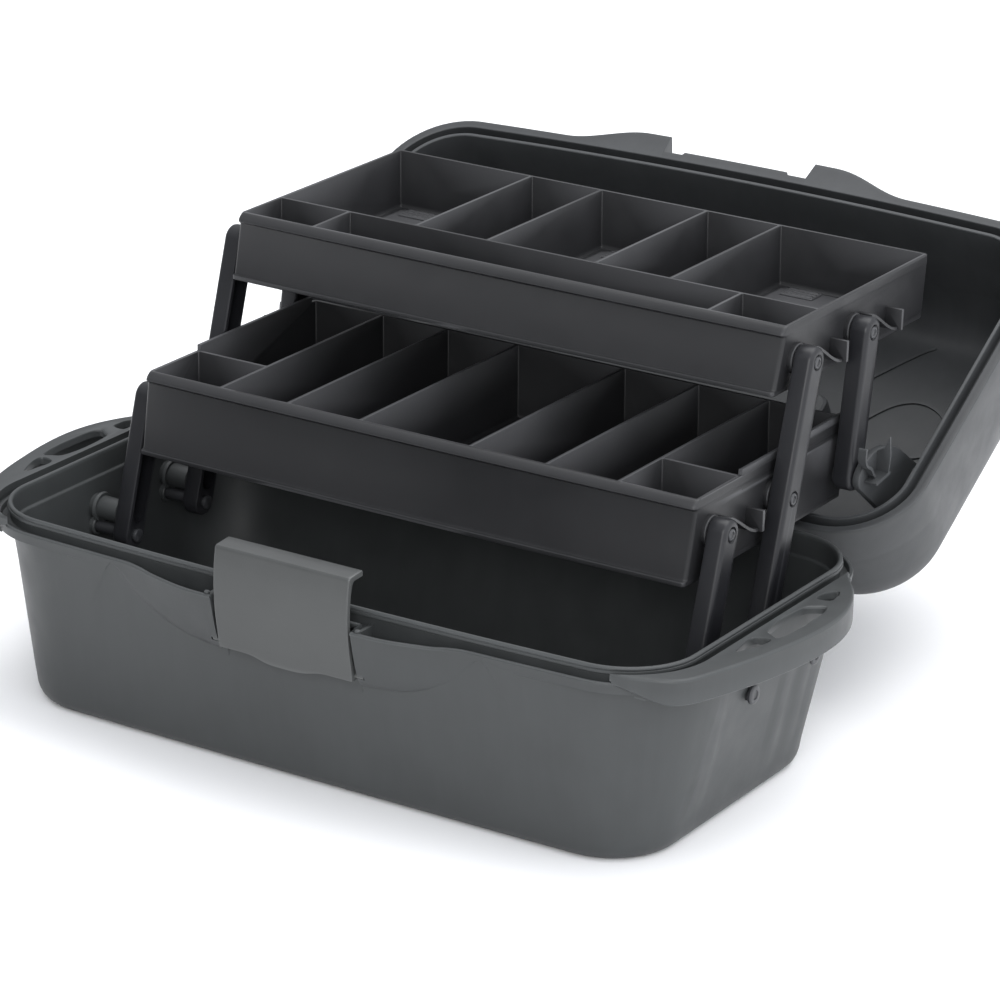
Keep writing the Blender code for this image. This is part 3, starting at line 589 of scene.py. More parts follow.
def closed_spline(pts, n):
    m = len(pts)
    out = []
    for i in range(m):
        p0, p1, p2, p3 = pts[i - 1], pts[i], pts[(i + 1) % m], pts[(i + 2) % m]
        for k in range(n):
            t = k / n
            out.append(tuple(0.5 * ((2 * b) + (c - a) * t + (2 * a - 5 * b + 4 * c - d) * t * t
                                    + (3 * b - a - 3 * c + d) * t ** 3)
                             for a, b, c, d in zip(p0, p1, p2, p3)))
    return out


def inset_path(path, d):
    out = []
    n = len(path)
    for i, (x, y) in enumerate(path):
        a, b = path[max(0, i - 1)], path[min(n - 1, i + 1)]
        t = Vector((b[0] - a[0], b[1] - a[1])).normalized()
        iy = y + t.x * d
        out.append((max(x - t.y * d, rim_x(iy, 4.9)), iy))
    return out


def ear(s):
    top, under = 82.8, 79.9
    edge = spline([(x, y) for y, x in EAR_EDGE], 3)
    ys = uniq([-79.5, -78, -76, -74, -72, -70, -68, -66, -64, -61, -58, -55, -52, -40, -20, 0,
               20, 40, 54.0])[::-1]
    yi = uniq([-85.3, -84.5, -83.5, -82.3, -81.0] + ys + [56.1])[::-1]
    inner = [(rim_x(y, 4.9), y) for y in yi]
    rim = edge + inner

    def ring(path, z):
        return [(s * x, y, z) for x, y in path]
    e1, e2, e3 = inset_path(edge, 0.25), inset_path(edge, 0.8), inset_path(edge, 1.5)
    plate = loft("ear", [ring(edge + inner, under), ring(edge + inner, top - 1.2),
                         ring(e1 + inner, top - 0.55), ring(e2 + inner, top - 0.12),
                         ring(e3 + inner, top)])
    tie = [(rim_x(y, 7.2), y) for y in reversed(ys)] + [(rim_x(y, 5.1), y) for y in ys]
    add(plate, prism_z("tie", [(s * x, y) for x, y in tie], 74.0, under + 1.0))
    low = [(rim_x(y, 6.2), y) for y in reversed(ys)] + [(rim_x(y, 3.4), y) for y in ys]
    add(plate, prism_z("low", [(s * x, y) for x, y in low], 73.0, 78.2))
    inset = inset_path(edge, 2.2)
    n = len(edge)
    zl = [71.6 + 1.6 * abs(i - n / 2) / (n / 2) + 5.2 * (1 - smooth(i / (0.22 * n)))
          + 4.0 * (1 - smooth((n - 1 - i) / (0.12 * n))) for i in range(n)]
    loop = edge + inset[::-1]
    z2 = zl + zl[::-1]
    skirt = loft("skirt", [[(s * x, y, under + 1.2) for x, y in loop],
                           [(s * x, y, z + 0.5) for (x, y), z in zip(loop, z2)],
                           [(s * x, y, z) for (x, y), z in
                            zip(inset_path(edge, 0.5) + inset_path(edge, 1.7)[::-1], z2)]])
    add(plate, skirt)
    for sl in EAR_SLOTS:
        p = closed_spline(sl, 3)
        cx, cy = sum(a for a, _ in p) / len(p), sum(b for _, b in p) / len(p)

        def grow(f, z):
            return [(s * (cx + (x - cx) * f), cy + (y - cy) * f, z) for x, y in p]
        cut(plate, loft("slot", [grow(1.0, 76.0), grow(1.0, top - 0.8), grow(1.03, top - 0.25),
                                 grow(1.09, top + 0.15), grow(1.09, 86.0)]))
    return plate


# ---------------------------------------------------------------------- lid
LID_BUMP_HI = [(35.0, 104.5), (46.0, 103.5), (56.0, 100.0), (65.0, 95.5), (74.0, 88.5),
               (84.0, 79.6)]


def bump_edge(x):
    x = abs(x)
    if x < 25.5:
        return 1.4
    if x < 35.2 or x > 84.0:
        return 0.0
    t = max(0.0, x - 46.0) / 38.0
    return 8.8 * (0.5 + 0.5 * math.cos(math.pi * t))


def lid_bump(x, z):
    e = bump_edge(x)
    x = abs(x)
    hi = 101.0 if x < 26.5 else sum(interp(x + d, LID_BUMP_HI) for d in (-3, -1, 1, 3)) / 4
    if z >= hi:
        return 0.0
    return e * min(1.0, (hi - z) / (hi - LIP_Z)) ** 0.75


def link_pin(t):
    u = rot(U_FRONT, SWING * t, B_REAR)
    u = (u[0] + U_REAR[0] - U_FRONT[0], u[1])
    v = rot((P_OPEN[0] - U_REAR[0], P_OPEN[1] - U_REAR[1]), LINK_SWING * t)
    return (u[0] + v[0], u[1] + v[1])


def cam_track(n=120, step=1.2):
    path = [rot(link_pin(i / (n - 1)), LID_OPEN * (1 - i / (n - 1)), HINGE) for i in range(n)]
    rear = max(range(n), key=lambda i: path[i][0])
    out = [path[rear]]
    for p in path[rear + 1:-1]:
        if math.hypot(p[0] - out[-1][0], p[1] - out[-1][1]) > step:
            out.append(p)
    if math.hypot(path[-1][0] - out[-1][0], path[-1][1] - out[-1][1]) < 0.6:
        out.pop()
    return out + [path[-1]]


def fat(path, r, caps=14):
    left, right = [], []
    n = len(path)
    for i, p in enumerate(path):
        a, b = path[max(0, i - 1)], path[min(n - 1, i + 1)]
        d = Vector((b[0] - a[0], b[1] - a[1])).normalized()
        left.append((p[0] - d.y * r, p[1] + d.x * r))
        right.append((p[0] + d.y * r, p[1] - d.x * r))

    def cap(q, c):
        a0 = math.atan2(q[1] - c[1], q[0] - c[0])
        return [(c[0] + r * math.cos(a0 - math.pi * j / caps),
                 c[1] + r * math.sin(a0 - math.pi * j / caps)) for j in range(1, caps)]
    return left + cap(left[-1], path[-1]) + right[::-1] + cap(right[0], path[0])


def hull(points):
    pts = sorted(set((round(a, 4), round(b, 4)) for a, b in points))

    def half(seq):
        out = []
        for p in seq:
            while len(out) > 1 and ((out[-1][0] - out[-2][0]) * (p[1] - out[-2][1])
                                    - (out[-1][1] - out[-2][1]) * (p[0] - out[-2][0])) <= 1e-6:
                out.pop()
            out.append(p)
        return out
    a, b = half(pts), half(reversed(pts))
    return a[:-1] + b[:-1]


def lid_shell():
    def wall(z):
        return 4.4 - 0.178 * (z - 82.0)
    def rear(z, most):
        return (0.0, 0.0, 0.0, -0.8 * smooth((z - 96.0) / 40.0), 1.0,
                most * smooth((z - 85.0) / 14.0))
    rings = [outline(off, z, LID_X, shape=rear(z, 9.0)) for off, z in
             ((-24.5, LID_TOP), (-21.5, 143.95), (-19.0, 143.5), (-16.5, 142.8), (-14.2, 141.7),
              (-12.1, 140.3), (-10.2, 138.5), (-8.6, 136.5), (-7.2, 134.2), (-6.0, 131.9),
              (-5.0, 129.4), (-4.1, 126.6), (-3.4, 123.8), (-2.6, 120.4))]
    for z in [117.0, 113.0, 109.0, 106.0] + span(104.0, 81.0, 1.6)[::1]:
        rings.append(outline(wall(z), z, LID_X, lambda x, z=z: lid_bump(x, z),
                             shape=rear(z, 9.0)))
    for off, z in ((4.55, 80.0), (4.6, 79.6), (4.4, 79.2), (4.1, LIP_Z)):
        rings.append(outline(off, z, LID_X, bump_edge))
    rings.append(outline(2.6, LIP_Z, LID_X, bump_edge))
    for off, z in ((0.7, LIP_Z), (0.45, 79.35), (0.45, 83.8), (0.2, 84.0), (-2.4, 84.0),
                   (-2.65, 83.8), (-3.1, 79.5), (-3.35, LIP_Z), (-4.5, LIP_Z), (-4.8, 79.4),
                   (-4.9, 90.0), (-4.95, 100.0), (-5.0, 118.0), (-5.4, 121.0), (-6.1, 125.0),
                   (-7.1, 128.6), (-8.4, 131.8), (-10.0, 134.6), (-12.0, 137.0), (-14.6, 139.2),
                   (-17.6, 140.8), (-21.0, 141.6), (-25.0, 141.9)):
        rings.append(outline(off, z, LID_X, shape=rear(z, 8.0)))
    ob = loft("lid_shell_skin", rings)
    cut(ob, block("pocket", -32.4, 32.4, -99.0, -85.3, 95.7, 102.4))
    well = tray_box(67.5, 21.5, 5.0, [(134.0, 1.2), (134.8, 0.3), (136.0, 0.0), (143.0, 0.0)])
    add(ob, well)
    cut(ob, tray_box(61.2, 19.0, 3.5, [(136.3, 0.6), (137.0, 0.0), (143.4, 0.0), (143.9, 0.35),
                                       (144.3, 1.0), (150.0, 1.0)], grow=True))
    # raised contour beads inside the top
    for s in (1, -1):
        for pts in (((68, -30), (76, -40.6), (90, -57.6), (96, -63)),
                    ((78, -8), (84, -18.9), (92, -28.5), (100, -32.7), (108, -32.4),
                     (116, -28.2), (123, -19), (118, -7.2), (106, -2.5), (95, -2))):
            line = fat(spline(pts, 5), 0.7, 4)
            add(ob, prism_z("bead", [(s * x, y) for x, y in line], 141.2, 142.6))
    for s in (1, -1):
        track = cam_track()
        body = hull(fat(track, 4.6) + [(HINGE[0] - 34.0, HINGE[1] + 28.0),
                                       (HINGE[0] - 57.0, HINGE[1] + 28.0),
                                       (HINGE[0] - 60.0, HINGE[1] + 20.0)])
        plate = prism_x("plate", body, s * PLATE_X0, s * PLATE_X1)
        add(plate, block("web", *sorted((s * (PLATE_X0 + 1.2), s * 154.0)), HINGE[0] - 56.0,
                         HINGE[0] - 37.0, HINGE[1] + 16.5, HINGE[1] + 26.0))
        cut(plate, prism_x("track", fat(track, PIN_R + 0.4), s * 136.0, s * 140.7))
        bevel(plate, 0.35, 2)

        def closed(y, z):
            return rot((y, z), LID_OPEN, HINGE)
        edge = [(141.0, 103.6), (147.0, 103.6), (147.6, 111.0), (147.0, 118.6), (144.8, 113.4),
                (141.0, 111.4)]
        add(plate, loft("fin", [[(s * x, *closed(y, z)) for x, z in edge]
                                for y in (113.0, 113.9)]))
        curve = [closed(*q) for q in ((98.4, 116.6), (98.2, 112.6), (99.8, 109.6), (103.4, 107.4),
                                      (106.2, 103.8), (110.2, 101.4))]
        add(plate, prism_x("curve", fat(spline(curve, 4), 0.6, 6), s * 141.2, s * 144.6))
        add(plate, prism_x("rail", fat([closed(104.0, 101.5), closed(114.5, 103.2)], 0.7, 6),
                           s * 141.0, s * 147.0))
        add(ob, plate)
        k = rod_x("knuckle", HINGE, [(s * 91.4, 2.7), (s * 91.7, 3.0), (s * 98.3, 3.0),
                                     (s * 98.6, 2.7)], 32)
        add(k, block("web", *sorted((s * 91.7, s * 98.3)), 84.0, 89.4, 79.6, 83.6))
        add(ob, k)
        cut(ob, rod_x("hole", HINGE, [(s * 88.0, 1.6), (s * 102.0, 1.6)], 20))
        cut(ob, rod_x("hole", HANDLE_PIVOT, [(s * 59.0, 1.75), (s * 65.4, 1.75)], 20))
    return done(ob, "lid", M_LID, ["lid_shell"], turn=-LID_OPEN)


def tray_box(hx, hy, r, levels, n=8, grow=False):
    """Rounded rectangular block about the origin with stepped walls."""
    rings = []
    for z, d in levels:
        a, b = (hx + d, hy + d) if grow else (hx - d, hy - d)
        pts = []
        for cx, cy, a0 in ((a - r, -b + r, -90), (a - r, b - r, 0), (-a + r, b - r, 90),
                           (-a + r, -b + r, 180)):
            for k in range(n + 1):
                t = math.radians(a0 + 90.0 * k / n)
                pts.append((cx + r * math.cos(t), cy + r * math.sin(t), z))
        rings.append(pts)
    return loft("block", rings)


def carry_handle():
    w, t = 58.0, 7.0
    out = [(-w, 12.9), (-w, -9.0), (-w + 6, -14.5), (w - 6, -14.5), (w, -9.0), (w, 12.9),
           (w - t, 12.9), (w - t, -4.5), (w - t - 3, -7.0), (-w + t + 3, -7.0),
           (-w + t, -4.5), (-w + t, 12.9)]
    ob = prism_z("carry_handle_bail", out, 137.4, 142.6)
    bevel(ob, 1.3, 4, 30)
    for s in (1, -1):
        cut(ob, rod_x("hole", HANDLE_PIVOT, [(s * 49.0, 1.75), (s * 60.0, 1.75)], 20))
    # finger grooves under the grip
    for i in range(-4, 5):
        cut(ob, prism_x("groove", circle((-15.6, 140.0), 1.3, 16), i * 9.0 - 2.2, i * 9.0 + 2.2))
    return done(ob, "handle", M_LATCH, ["carry_handle"], turn=-LID_OPEN)


# -------------------------------------------------------------------- latch
def front_latch():
    c = LATCH_PIVOT

    def profile(x):
        tab = math.exp(-(x / 13.0) ** 4)
        out = [(-92.3 - 0.7 * tab, 55.7 - 1.9 * tab), (-92.75 - 0.5 * tab, 56.6 - 1.2 * tab)]
        front = spline([(-93.0, 58.4), (-93.8, 62.5), (-94.9, 68.0), (-95.7, 73.0), (-96.3, 79.0),
                        (-96.4, 85.0), (-96.1, 91.0), (-95.3, 96.8)], 4)
        top = [(-95.1, 97.6), (-94.6, 98.2), (-93.8, 98.45), (-90.0, 98.75), (-86.6, 99.0),
               (-86.1, 98.8), (-85.9, 98.4), (-85.9, 96.6), (-86.3, 96.4), (-91.6, 96.1),
               (-92.3, 95.8), (-92.8, 95.0)]
        back = spline([(-93.7, 91.0), (-94.1, 85.0), (-94.0, 79.0), (-93.4, 73.0),
                       (-92.5, 68.0), (-91.4, 62.5)], 3)
        boss = [(c[0] + 2.3 * math.cos(math.radians(a)), c[1] + 2.3 * math.sin(math.radians(a)))
                for a in (80, 60, 40, 20, 0, -20, -40, -60, -80)]
        end = [(c[0] - 0.7, c[1] - 2.5 - 0.8 * tab), (-91.6 - 0.5 * tab, 55.4 - 1.7 * tab)]
        return out + front + top + back + boss + end
    xs = uniq([0] + span(1.5, 24, 1.5) + [27.0, 29.2, 30.0, 30.5, 30.8])
    xs = [-x for x in reversed(xs) if x > 0] + xs
    rings = []
    for x in xs:
        e = max(0.0, abs(x) - 29.9) / 0.9
        p = profile(x)
        if e > 0:
            # round the end of the plate
            cy = sum(a for a, _ in p) / len(p)
            p2 = []
            for i, (a, b) in enumerate(p):
                q, r = p[i - 1], p[(i + 1) % len(p)]
                t = Vector((r[0] - q[0], r[1] - q[1]))
                t = t.normalized() if t.length > 1e-6 else Vector((0, 1))
                k = 0.32 * (1 - math.sqrt(max(0.0, 1 - e * e)))
                p2.append((a + k * t.y, b - k * t.x))
            p = p2
        rings.append([(x, a, b) for a, b in p])
    ob = loft("front_latch_plate", rings)
    for s in (1, -1):
        add(ob, rod_x("stub", c, [(s * 28.0, 1.05), (s * 34.4, 1.05), (s * 34.8, 0.8)], 24))
    return done(ob, "latch", M_LATCH, ["front_latch"])


# --------------------------------------------------------------------- arms
def arm_outline(points, w, n=18):
    ring = []
    for p in points:
        ring += [(p[0] + w / 2 * math.cos(math.pi * i / n),
                  p[1] + w / 2 * math.sin(math.pi * i / n)) for i in range(2 * n)]
    return hull(ring)


def arm(name, ends, s, holes, body, node):
    """Channel arm with a softly rounded outer face."""
    st = [(ARM_X0, -0.5), (ARM_X0 + 0.3, -0.15), (ARM_X0 + 0.8, 0.0), (ARM_X1 - 1.7, 0.0),
          (ARM_X1 - 0.9, -0.22), (ARM_X1 - 0.35, -0.7), (ARM_X1, -1.5)]
    rings = [[(s * x, y, z) for y, z in arm_outline(ends, ARM_W + 2 * d)] for x, d in st]
    k = min(len(r) for r in rings)
    ob = loft(name, rings) if all(len(r) == k for r in rings) else \
        prism_x(name, arm_outline(ends, ARM_W), s * ARM_X0, s * ARM_X1)
    for a, b in zip(holes, holes[1:]):
        d = Vector((b[0] - a[0], b[1] - a[1]))
        u = d.normalized()
        p = (a[0] + u.x * 9.0, a[1] + u.y * 9.0)
        q = (b[0] - u.x * 9.0, b[1] - u.y * 9.0)
        cut(ob, prism_x("channel", arm_outline([p, q], ARM_W - 4.4, 8),
                        s * (ARM_X0 - 2.0), s * (ARM_X1 - 2.2)))
        m = ((p[0] + q[0]) / 2, (p[1] + q[1]) / 2)
    for h in holes:
        cut(ob, rod_x("hole", h, [(s * (ARM_X0 - 3), PIN_R + 0.3), (s * (ARM_X1 - 0.6), PIN_R + 0.3),
                                  (s * (ARM_X1 - 0.1), PIN_R + 0.8), (s * (ARM_X1 + 3), PIN_R + 0.8)], 32))
    return done(ob, body, M_ARM, [node], angle=28)


def pin(name, c, s, x_head, x_tip, body, node, head_out=False):
    if head_out:
        st = [(x_tip + 0.9, 1.9), (x_tip + 1.1, 2.5), (x_tip + 1.4, 2.85), (x_tip + 2.2, 2.9),
              (x_tip + 2.4, 2.7), (x_tip + 2.42, PIN_R), (x_head - 0.02, PIN_R),
              (x_head, 3.7), (x_head + 0.25, 3.9), (x_head + 1.0, 3.9), (x_head + 1.35, 3.6),
              (x_head + 1.5, 3.1), (x_head + 1.5, 2.0), (x_head + 1.15, 1.7), (x_head + 1.1, 0.9)]
    else:
        st = [(x_head - 1.35, 0.9), (x_head - 1.4, 1.7), (x_head - 1.4, 3.1), (x_head - 1.2, 3.6),
              (x_head - 0.9, 3.8), (x_head - 0.12, 3.8), (x_head, 3.6), (x_head + 0.02, PIN_R),
              (x_tip - 0.6, PIN_R), (x_tip - 0.25, 2.4), (x_tip, 2.05), (x_tip, 1.5),
              (x_tip - 0.45, 1.25), (x_tip - 0.5, 0.5)]
    ob = rod_x(name, c, [(s * x, r) for x, r in st], 40)
    return done(ob, body, M_PIN, [node], angle=40)


# -------------------------------------------------------------------- trays
def tray_outline(y0, y1, half, r, n=8, bowed=1.0, front_n=24):
    pts = []
    for i in range(front_n + 1):
        t = -1 + 2 * i / front_n
        pts.append(((half - r) * t, y0 - bowed * (1 - t * t)))
    for q, (cx, cy, a0) in enumerate(((half - r, y0 + r, -90), (half - r, y1 - r, 0),
                                      (-half + r, y1 - r, 90), (-half + r, y0 + r, 180))):
        for k in range(1 if q == 0 else 0, n if q == 3 else n + 1):
            a = math.radians(a0 + 90.0 * k / n)
            pts.append((cx + r * math.cos(a), cy + r * math.sin(a)))
    return pts


def pocket(x0, x1, y0, y1, z0, z1, draft=1.2, r=0.7, lean0=0.0, n=3):
    def ring(d, z, lead, c):
        a, b, e, f = x0 + d, x1 - d, y0 + d - lead, y1 - d
        pts = []
        for cx, cy, a0 in ((b - c, e + c, -90), (b - c, f - c, 0), (a + c, f - c, 90),
                           (a + c, e + c, 180)):
            for k in range(n + 1):
                t = math.radians(a0 + 90.0 * k / n)
                pts.append((cx + c * math.cos(t), cy + c * math.sin(t), z))
        return pts
    fl = [(draft + 1.1, z0, lean0, r), (draft + 0.45, z0 + 0.25, lean0 * 0.995, r),
          (draft * 0.9, z0 + 0.9, lean0 * 0.97, r), (draft * 0.75, z0 + 2.0, lean0 * 0.94, r),
          (0.0, z1, 0.0, r * 0.7)]
    return loft("pocket", [ring(*f) for f in fl])


def tray_blank(name, t):
    top, h, y0, y1, lean = t["top"], t["h"], t["y0"], t["y1"], t["lean"]
    bot = top - h
    rows = [(bot, lean - 1.0, 1.6), (bot + 0.15, lean - 0.1, 1.1), (bot + 0.5, lean + 0.5, 0.9),
            (bot + 1.9, lean + 0.55, 0.9), (bot + 2.2, lean + 0.35, 0.9),
            (bot + 2.35, lean - 0.9, 0.85), (bot + 3.2, lean - 1.15, 0.8),
            (top - 4.6, 1.7, 0.1), (top - 4.0, 1.9, 0.05), (top - 3.6, 2.5, 0.0),
            (top - 3.2, 2.9, 0.0), (top - 2.5, 2.75, 0.0), (top - 1.6, 2.1, 0.0),
            (top - 0.7, 1.05, 0.0), (top - 0.2, 0.3, 0.05), (top, -0.15, 0.25)]
    rings = []
    for z, fwd, inn in rows:
        rings.append([(x, y, z) for x, y in
                      tray_outline(y0 - fwd, y1 - inn, TRAY_HALF - inn, 1.8, 5)])
    return loft(name, rings)


HOOK = [(7.0, 3.4), (9.5, 2.5), (14.6, -0.6), (19.0, -3.5), (23.0, -5.8), (26.5, -7.2),
        (29.6, -7.7)]


def stop_hook(s, c, lift=0.0):
    """Curved rib behind a pin that runs into an upright tab."""
    pts = spline([(c[0] + y, c[1] + z + lift) for y, z in HOOK], 4)
    ob = prism_x("rib", fat(pts, 0.55, 6), s * (TRAY_HALF - 0.8), s * 133.6)
    t = prism_x("tab", [(c[0] + 29.0, c[1] - 8.3 + lift), (c[0] + 30.7, c[1] - 8.3 + lift),
                        (c[0] + 30.7, c[1] + 0.4 + lift), (c[0] + 29.0, c[1] + 0.4 + lift)],
                s * (TRAY_HALF - 0.8), s * 135.4)
    bevel(t, 0.3, 2)
    add(ob, t)
    return ob


def lower_tray():
    t = LOW_TRAY
    ob = tray_blank("lower_tray_shell", t)
    top, bot = t["top"], t["top"] - t["h"]
    w = 1.6
    y0, y1 = t["y0"] + w, t["y1"] - w
    g = 0.65
    cols = [-TRAY_HALF + w, -92.8, -60.3, -25.65, 25.65, 60.3, 92.8, TRAY_HALF - w]
    for s in (1, -1):
        add(ob, block("step", *sorted((s * (TRAY_HALF - w - 0.3), s * (TRAY_HALF - 0.08))),
                      27.5, t["y1"] - 4.5, top - 6.0, top + 2.4))
    for i in range(7):
        a = cols[i] + (0.0 if i == 0 else g)
        b = cols[i + 1] - (0.0 if i == 6 else g)
        if i in (0, 6):
            cut(ob, pocket(a, b, y0, 26.9 - g, bot + 2.0, top + 4, lean0=t["lean"] * 0.92))
            cut(ob, pocket(a, b, 26.9 + g, y1, bot + 2.0, top + 4))
        else:
            cut(ob, pocket(a, b, y0, y1, bot + 2.0, top + 4, lean0=t["lean"] * 0.92))
    bevel(ob, 0.28, 2, 40)
    for s in (1, -1):
        for c in (T_FRONT, T_REAR):
            add(ob, rod_x("pad", c, [(s * (TRAY_HALF - 0.8), 6.2), (s * (TRAY_HALF + 1.3), 6.2),
                                     (s * (TRAY_HALF + 1.6), 5.9)], 40))
            cut(ob, rod_x("hole", c, [(s * 120.0, PIN_R + 0.2), (s * 134.0, PIN_R + 0.2)], 28))
        add(ob, stop_hook(s, T_FRONT))
    return done(ob, "lower_tray", M_TRAY, ["lower_tray"])


def upper_tray():
    t = UP_TRAY
    ob = tray_blank("upper_tray_shell", t)
    top, bot = t["top"], t["top"] - t["h"]
    w = 1.6
    y0, y1 = t["y0"] + w, t["y1"] - w
    m, g = 85.4, 0.65
    cols = [-TRAY_HALF + w, -60.3, -25.65, 25.65, 60.3, TRAY_HALF - w]
    for i in range(5):
        a = cols[i] + (0.0 if i == 0 else g)
        b = cols[i + 1] - (0.0 if i == 4 else g)
        cut(ob, pocket(a, b, m + g, y1, bot + 2.0, top + 1))
    cols = [-TRAY_HALF + w, -92.8, 92.8, TRAY_HALF - w]
    for i in range(3):
        a = cols[i] + (0.0 if i == 0 else g)
        b = cols[i + 1] - (0.0 if i == 2 else g)
        cut(ob, pocket(a, b, y0, m - g, bot + 2.0, top + 1, lean0=t["lean"] * 0.92))
    bevel(ob, 0.28, 2, 40)
    for x in (-119.0, -17.0, 68.5):
        pad = block("pad", x, x + 15.0, 161.5, 171.0, bot + 1.6, bot + 2.7)
        for k in range(3):
            add(pad, block("rib", x + 0.8, x + 14.2, 163.1 + 2.7 * k, 163.9 + 2.7 * k,
                           bot + 2.5, bot + 3.2))
        bevel(pad, 0.2, 1)
        add(ob, pad)
    for s in (1, -1):
        for c in (U_FRONT, U_REAR):
            add(ob, rod_x("pad", c, [(s * (TRAY_HALF - 0.8), 6.2), (s * (TRAY_HALF + 1.3), 6.2),
                                     (s * (TRAY_HALF + 1.6), 5.9)], 40))
            cut(ob, rod_x("hole", c, [(s * 120.0, PIN_R + 0.2), (s * 134.0, PIN_R + 0.2)], 28))
            add(ob, stop_hook(s, c, 0.9 if c is U_REAR else 0.0))
    return done(ob, "upper_tray", M_TRAY, ["upper_tray"])


# -------------------------------------------------------------------- build
base_bin()
lid_shell()
carry_handle()
front_latch()
lower_tray()
upper_tray()
for s, side in ((1, "right"), (-1, "left")):
    arm("short_arm_bar_" + side, [B_FRONT, T_FRONT], s, [B_FRONT, T_FRONT],
        "short_arm_" + side, "short_arm_" + side)
    arm("long_arm_bar_" + side, [B_REAR, U_FRONT], s, [B_REAR, T_REAR, U_FRONT],
        "long_arm_" + side, "long_arm_" + side)
    arm("rear_link_bar_" + side, [P_OPEN, U_REAR], s, [P_OPEN, U_REAR],
        "rear_link_" + side, "rear_link_" + side)
    for nm, c in (("base_pin_front_", B_FRONT), ("base_pin_rear_", B_REAR)):
        pin(nm + "rivet_" + side, c, s, 158.1, 127.4, "base", nm + side, head_out=True)
    for nm, c, bd in (("lower_tray_pin_front_", T_FRONT, "lower_tray"),
                      ("lower_tray_pin_rear_", T_REAR, "lower_tray"),
                      ("upper_tray_pin_front_", U_FRONT, "upper_tray"),
                      ("upper_tray_pin_rear_", U_REAR, "upper_tray")):
        pin(nm + "rivet_" + side, c, s, 125.9, 138.45, bd, nm + side)
    pin("cam_pin_rivet_" + side, P_OPEN, s, 130.1, 140.4, "rear_link_" + side, "cam_pin_" + side)
for n in ("lid_hinge_pin_left", "lid_hinge_pin_right", "handle_pin_left", "handle_pin_right"):
    o = frame["nodes"][n]
    o.data.materials.clear()
    o.data.materials.append(M_STEEL)

# -------------------------------------------------------------------- stage
floor_m = bpy.data.materials.new("floor")
floor_m.use_nodes = True
fn, fl = floor_m.node_tree.nodes, floor_m.node_tree.links
fb = fn["Principled BSDF"]
fb.inputs["Roughness"].default_value = 0.8
fb.inputs["Specular IOR Level"].default_value = 0.1
ftc = fn.new("ShaderNodeTexCoord")
fno = fn.new("ShaderNodeTexNoise")
fno.inputs["Scale"].default_value = 3.0
fl.new(ftc.outputs["Object"], fno.inputs["Vector"])
frm = fn.new("ShaderNodeValToRGB")
frm.color_ramp.elements[0].color = (0.93, 0.93, 0.935, 1)
frm.color_ramp.elements[1].color = (0.96, 0.96, 0.96, 1)
fl.new(fno.outputs["Fac"], frm.inputs["Fac"])
fl.new(frm.outputs["Color"], fb.inputs["Base Color"])
me = bpy.data.meshes.new("floor")
S = 8.0
me.from_pydata([(-S, -S, -0.0002), (S, -S, -0.0002), (S, S, -0.0002), (-S, S, -0.0002)], [],
               [(0, 1, 2, 3)])
floor = bpy.data.objects.new("floor", me)
bpy.context.scene.collection.objects.link(floor)
me.materials.append(floor_m)

SKY_BASE, SKY_TOP, SKY_RIGHT = 0.34, 1.0, 1.75
world = bpy.data.worlds.new("studio")
bpy.context.scene.world = world
world.use_nodes = True
wn, wl = world.node_tree.nodes, world.node_tree.links
bg = wn["Background"]
wtc = wn.new("ShaderNodeTexCoord")
sep = wn.new("ShaderNodeSeparateXYZ")
wl.new(wtc.outputs["Generated"], sep.inputs["Vector"])


def wmath(op, a, b=None):
    n = wn.new("ShaderNodeMath")
    n.operation = op
    for i, v in enumerate((a, b)):
        if v is None:
            continue
        if hasattr(v, "is_linked"):
            wl.new(v, n.inputs[i])
        else:
            n.inputs[i].default_value = v
    return n.outputs[0]


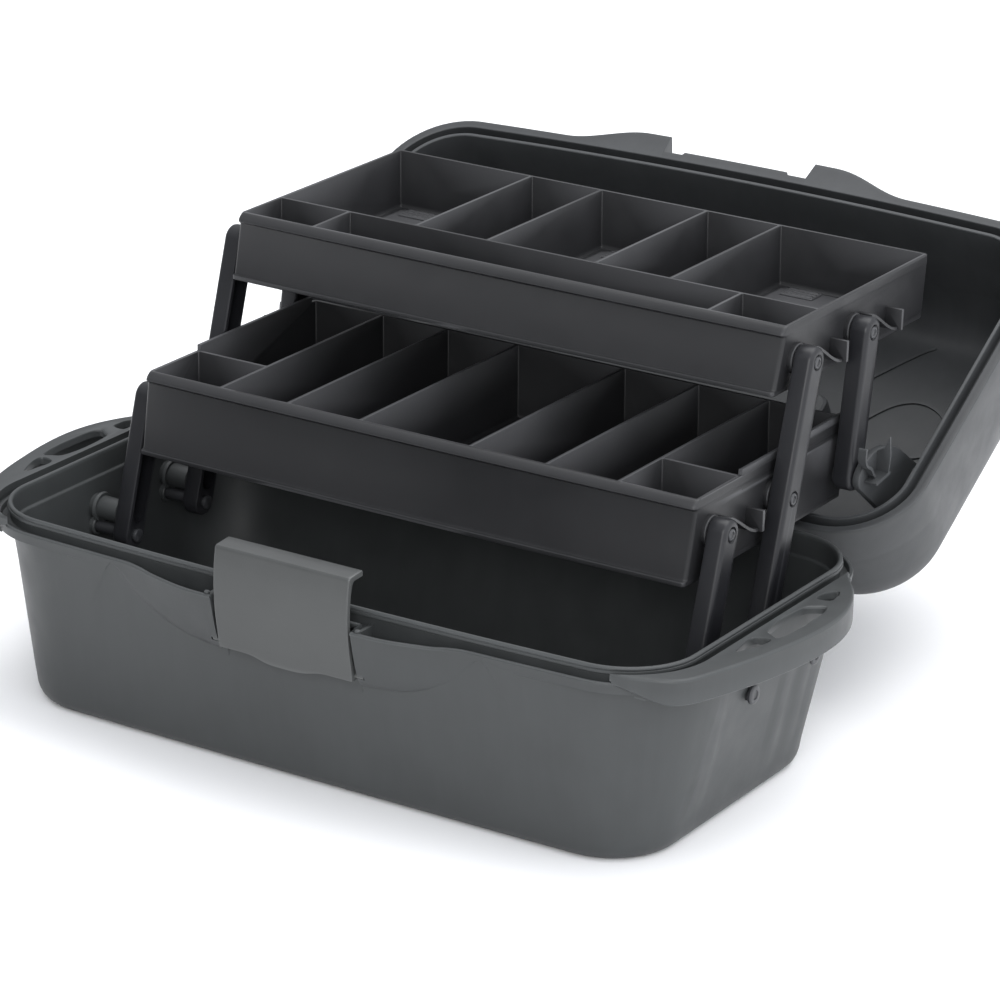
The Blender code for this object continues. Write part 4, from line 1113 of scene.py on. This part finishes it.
up = wmath("POWER", wmath("MAXIMUM", sep.outputs["Z"], 0.0), 1.3)
side = wmath("POWER", wmath("MAXIMUM", sep.outputs["X"], 0.0), 1.6)
sky = wmath("ADD", wmath("ADD", wmath("MULTIPLY", up, SKY_TOP), wmath("MULTIPLY", side, SKY_RIGHT)),
            SKY_BASE)
lp = wn.new("ShaderNodeLightPath")
wmix = wn.new("ShaderNodeMixRGB")
wl.new(lp.outputs["Is Camera Ray"], wmix.inputs["Fac"])
wl.new(sky, wmix.inputs["Color1"])
wmix.inputs["Color2"].default_value = (1.0, 1.0, 1.0, 1)
tint = wn.new("ShaderNodeMixRGB")
tint.blend_type = "MULTIPLY"
tint.inputs["Fac"].default_value = 1.0
tint.inputs["Color2"].default_value = (0.97, 0.99, 1.03, 1)
wl.new(wmix.outputs["Color"], tint.inputs["Color1"])
wl.new(tint.outputs["Color"], bg.inputs["Color"])
bg.inputs["Strength"].default_value = 1.0


def area(name, loc, target, size, energy, color=(1, 1, 1)):
    d = bpy.data.lights.new(name, "AREA")
    d.shape = "RECTANGLE"
    d.size, d.size_y = size
    d.energy = energy
    d.color = color
    o = bpy.data.objects.new(name, d)
    bpy.context.scene.collection.objects.link(o)
    o.location = loc
    o.rotation_euler = (Vector(target) - Vector(loc)).to_track_quat("-Z", "Y").to_euler()
    return o


area("top", (0.15, 0.45, 1.6), (0, 0.05, 0.1), (1.5, 1.2), 16)
area("fill", (0.95, -1.75, 1.05), (0, 0.05, 0.1), (1.0, 0.9), 17)

cam_d = bpy.data.cameras.new("camera")
cam = bpy.data.objects.new("camera", cam_d)
bpy.context.scene.collection.objects.link(cam)
cam_d.sensor_width = 36.0
cam_d.lens = 36.0 * 4433.846 / 1000.0
cam_d.shift_y = 0.002
cam_d.clip_end = 50
right = Vector((0.84409, 0.53575, 0.02196))
down = Vector((0.20394, -0.28290, -0.93722))
fwd = Vector((-0.49590, 0.79558, -0.34805))
rm = Matrix((right, -down, -fwd)).transposed().to_4x4()
rm.translation = Vector((0.89002, -1.36890, 0.70028))
cam.matrix_world = rm
bpy.context.scene.camera = cam
bpy.context.scene.view_settings.view_transform = "Standard"
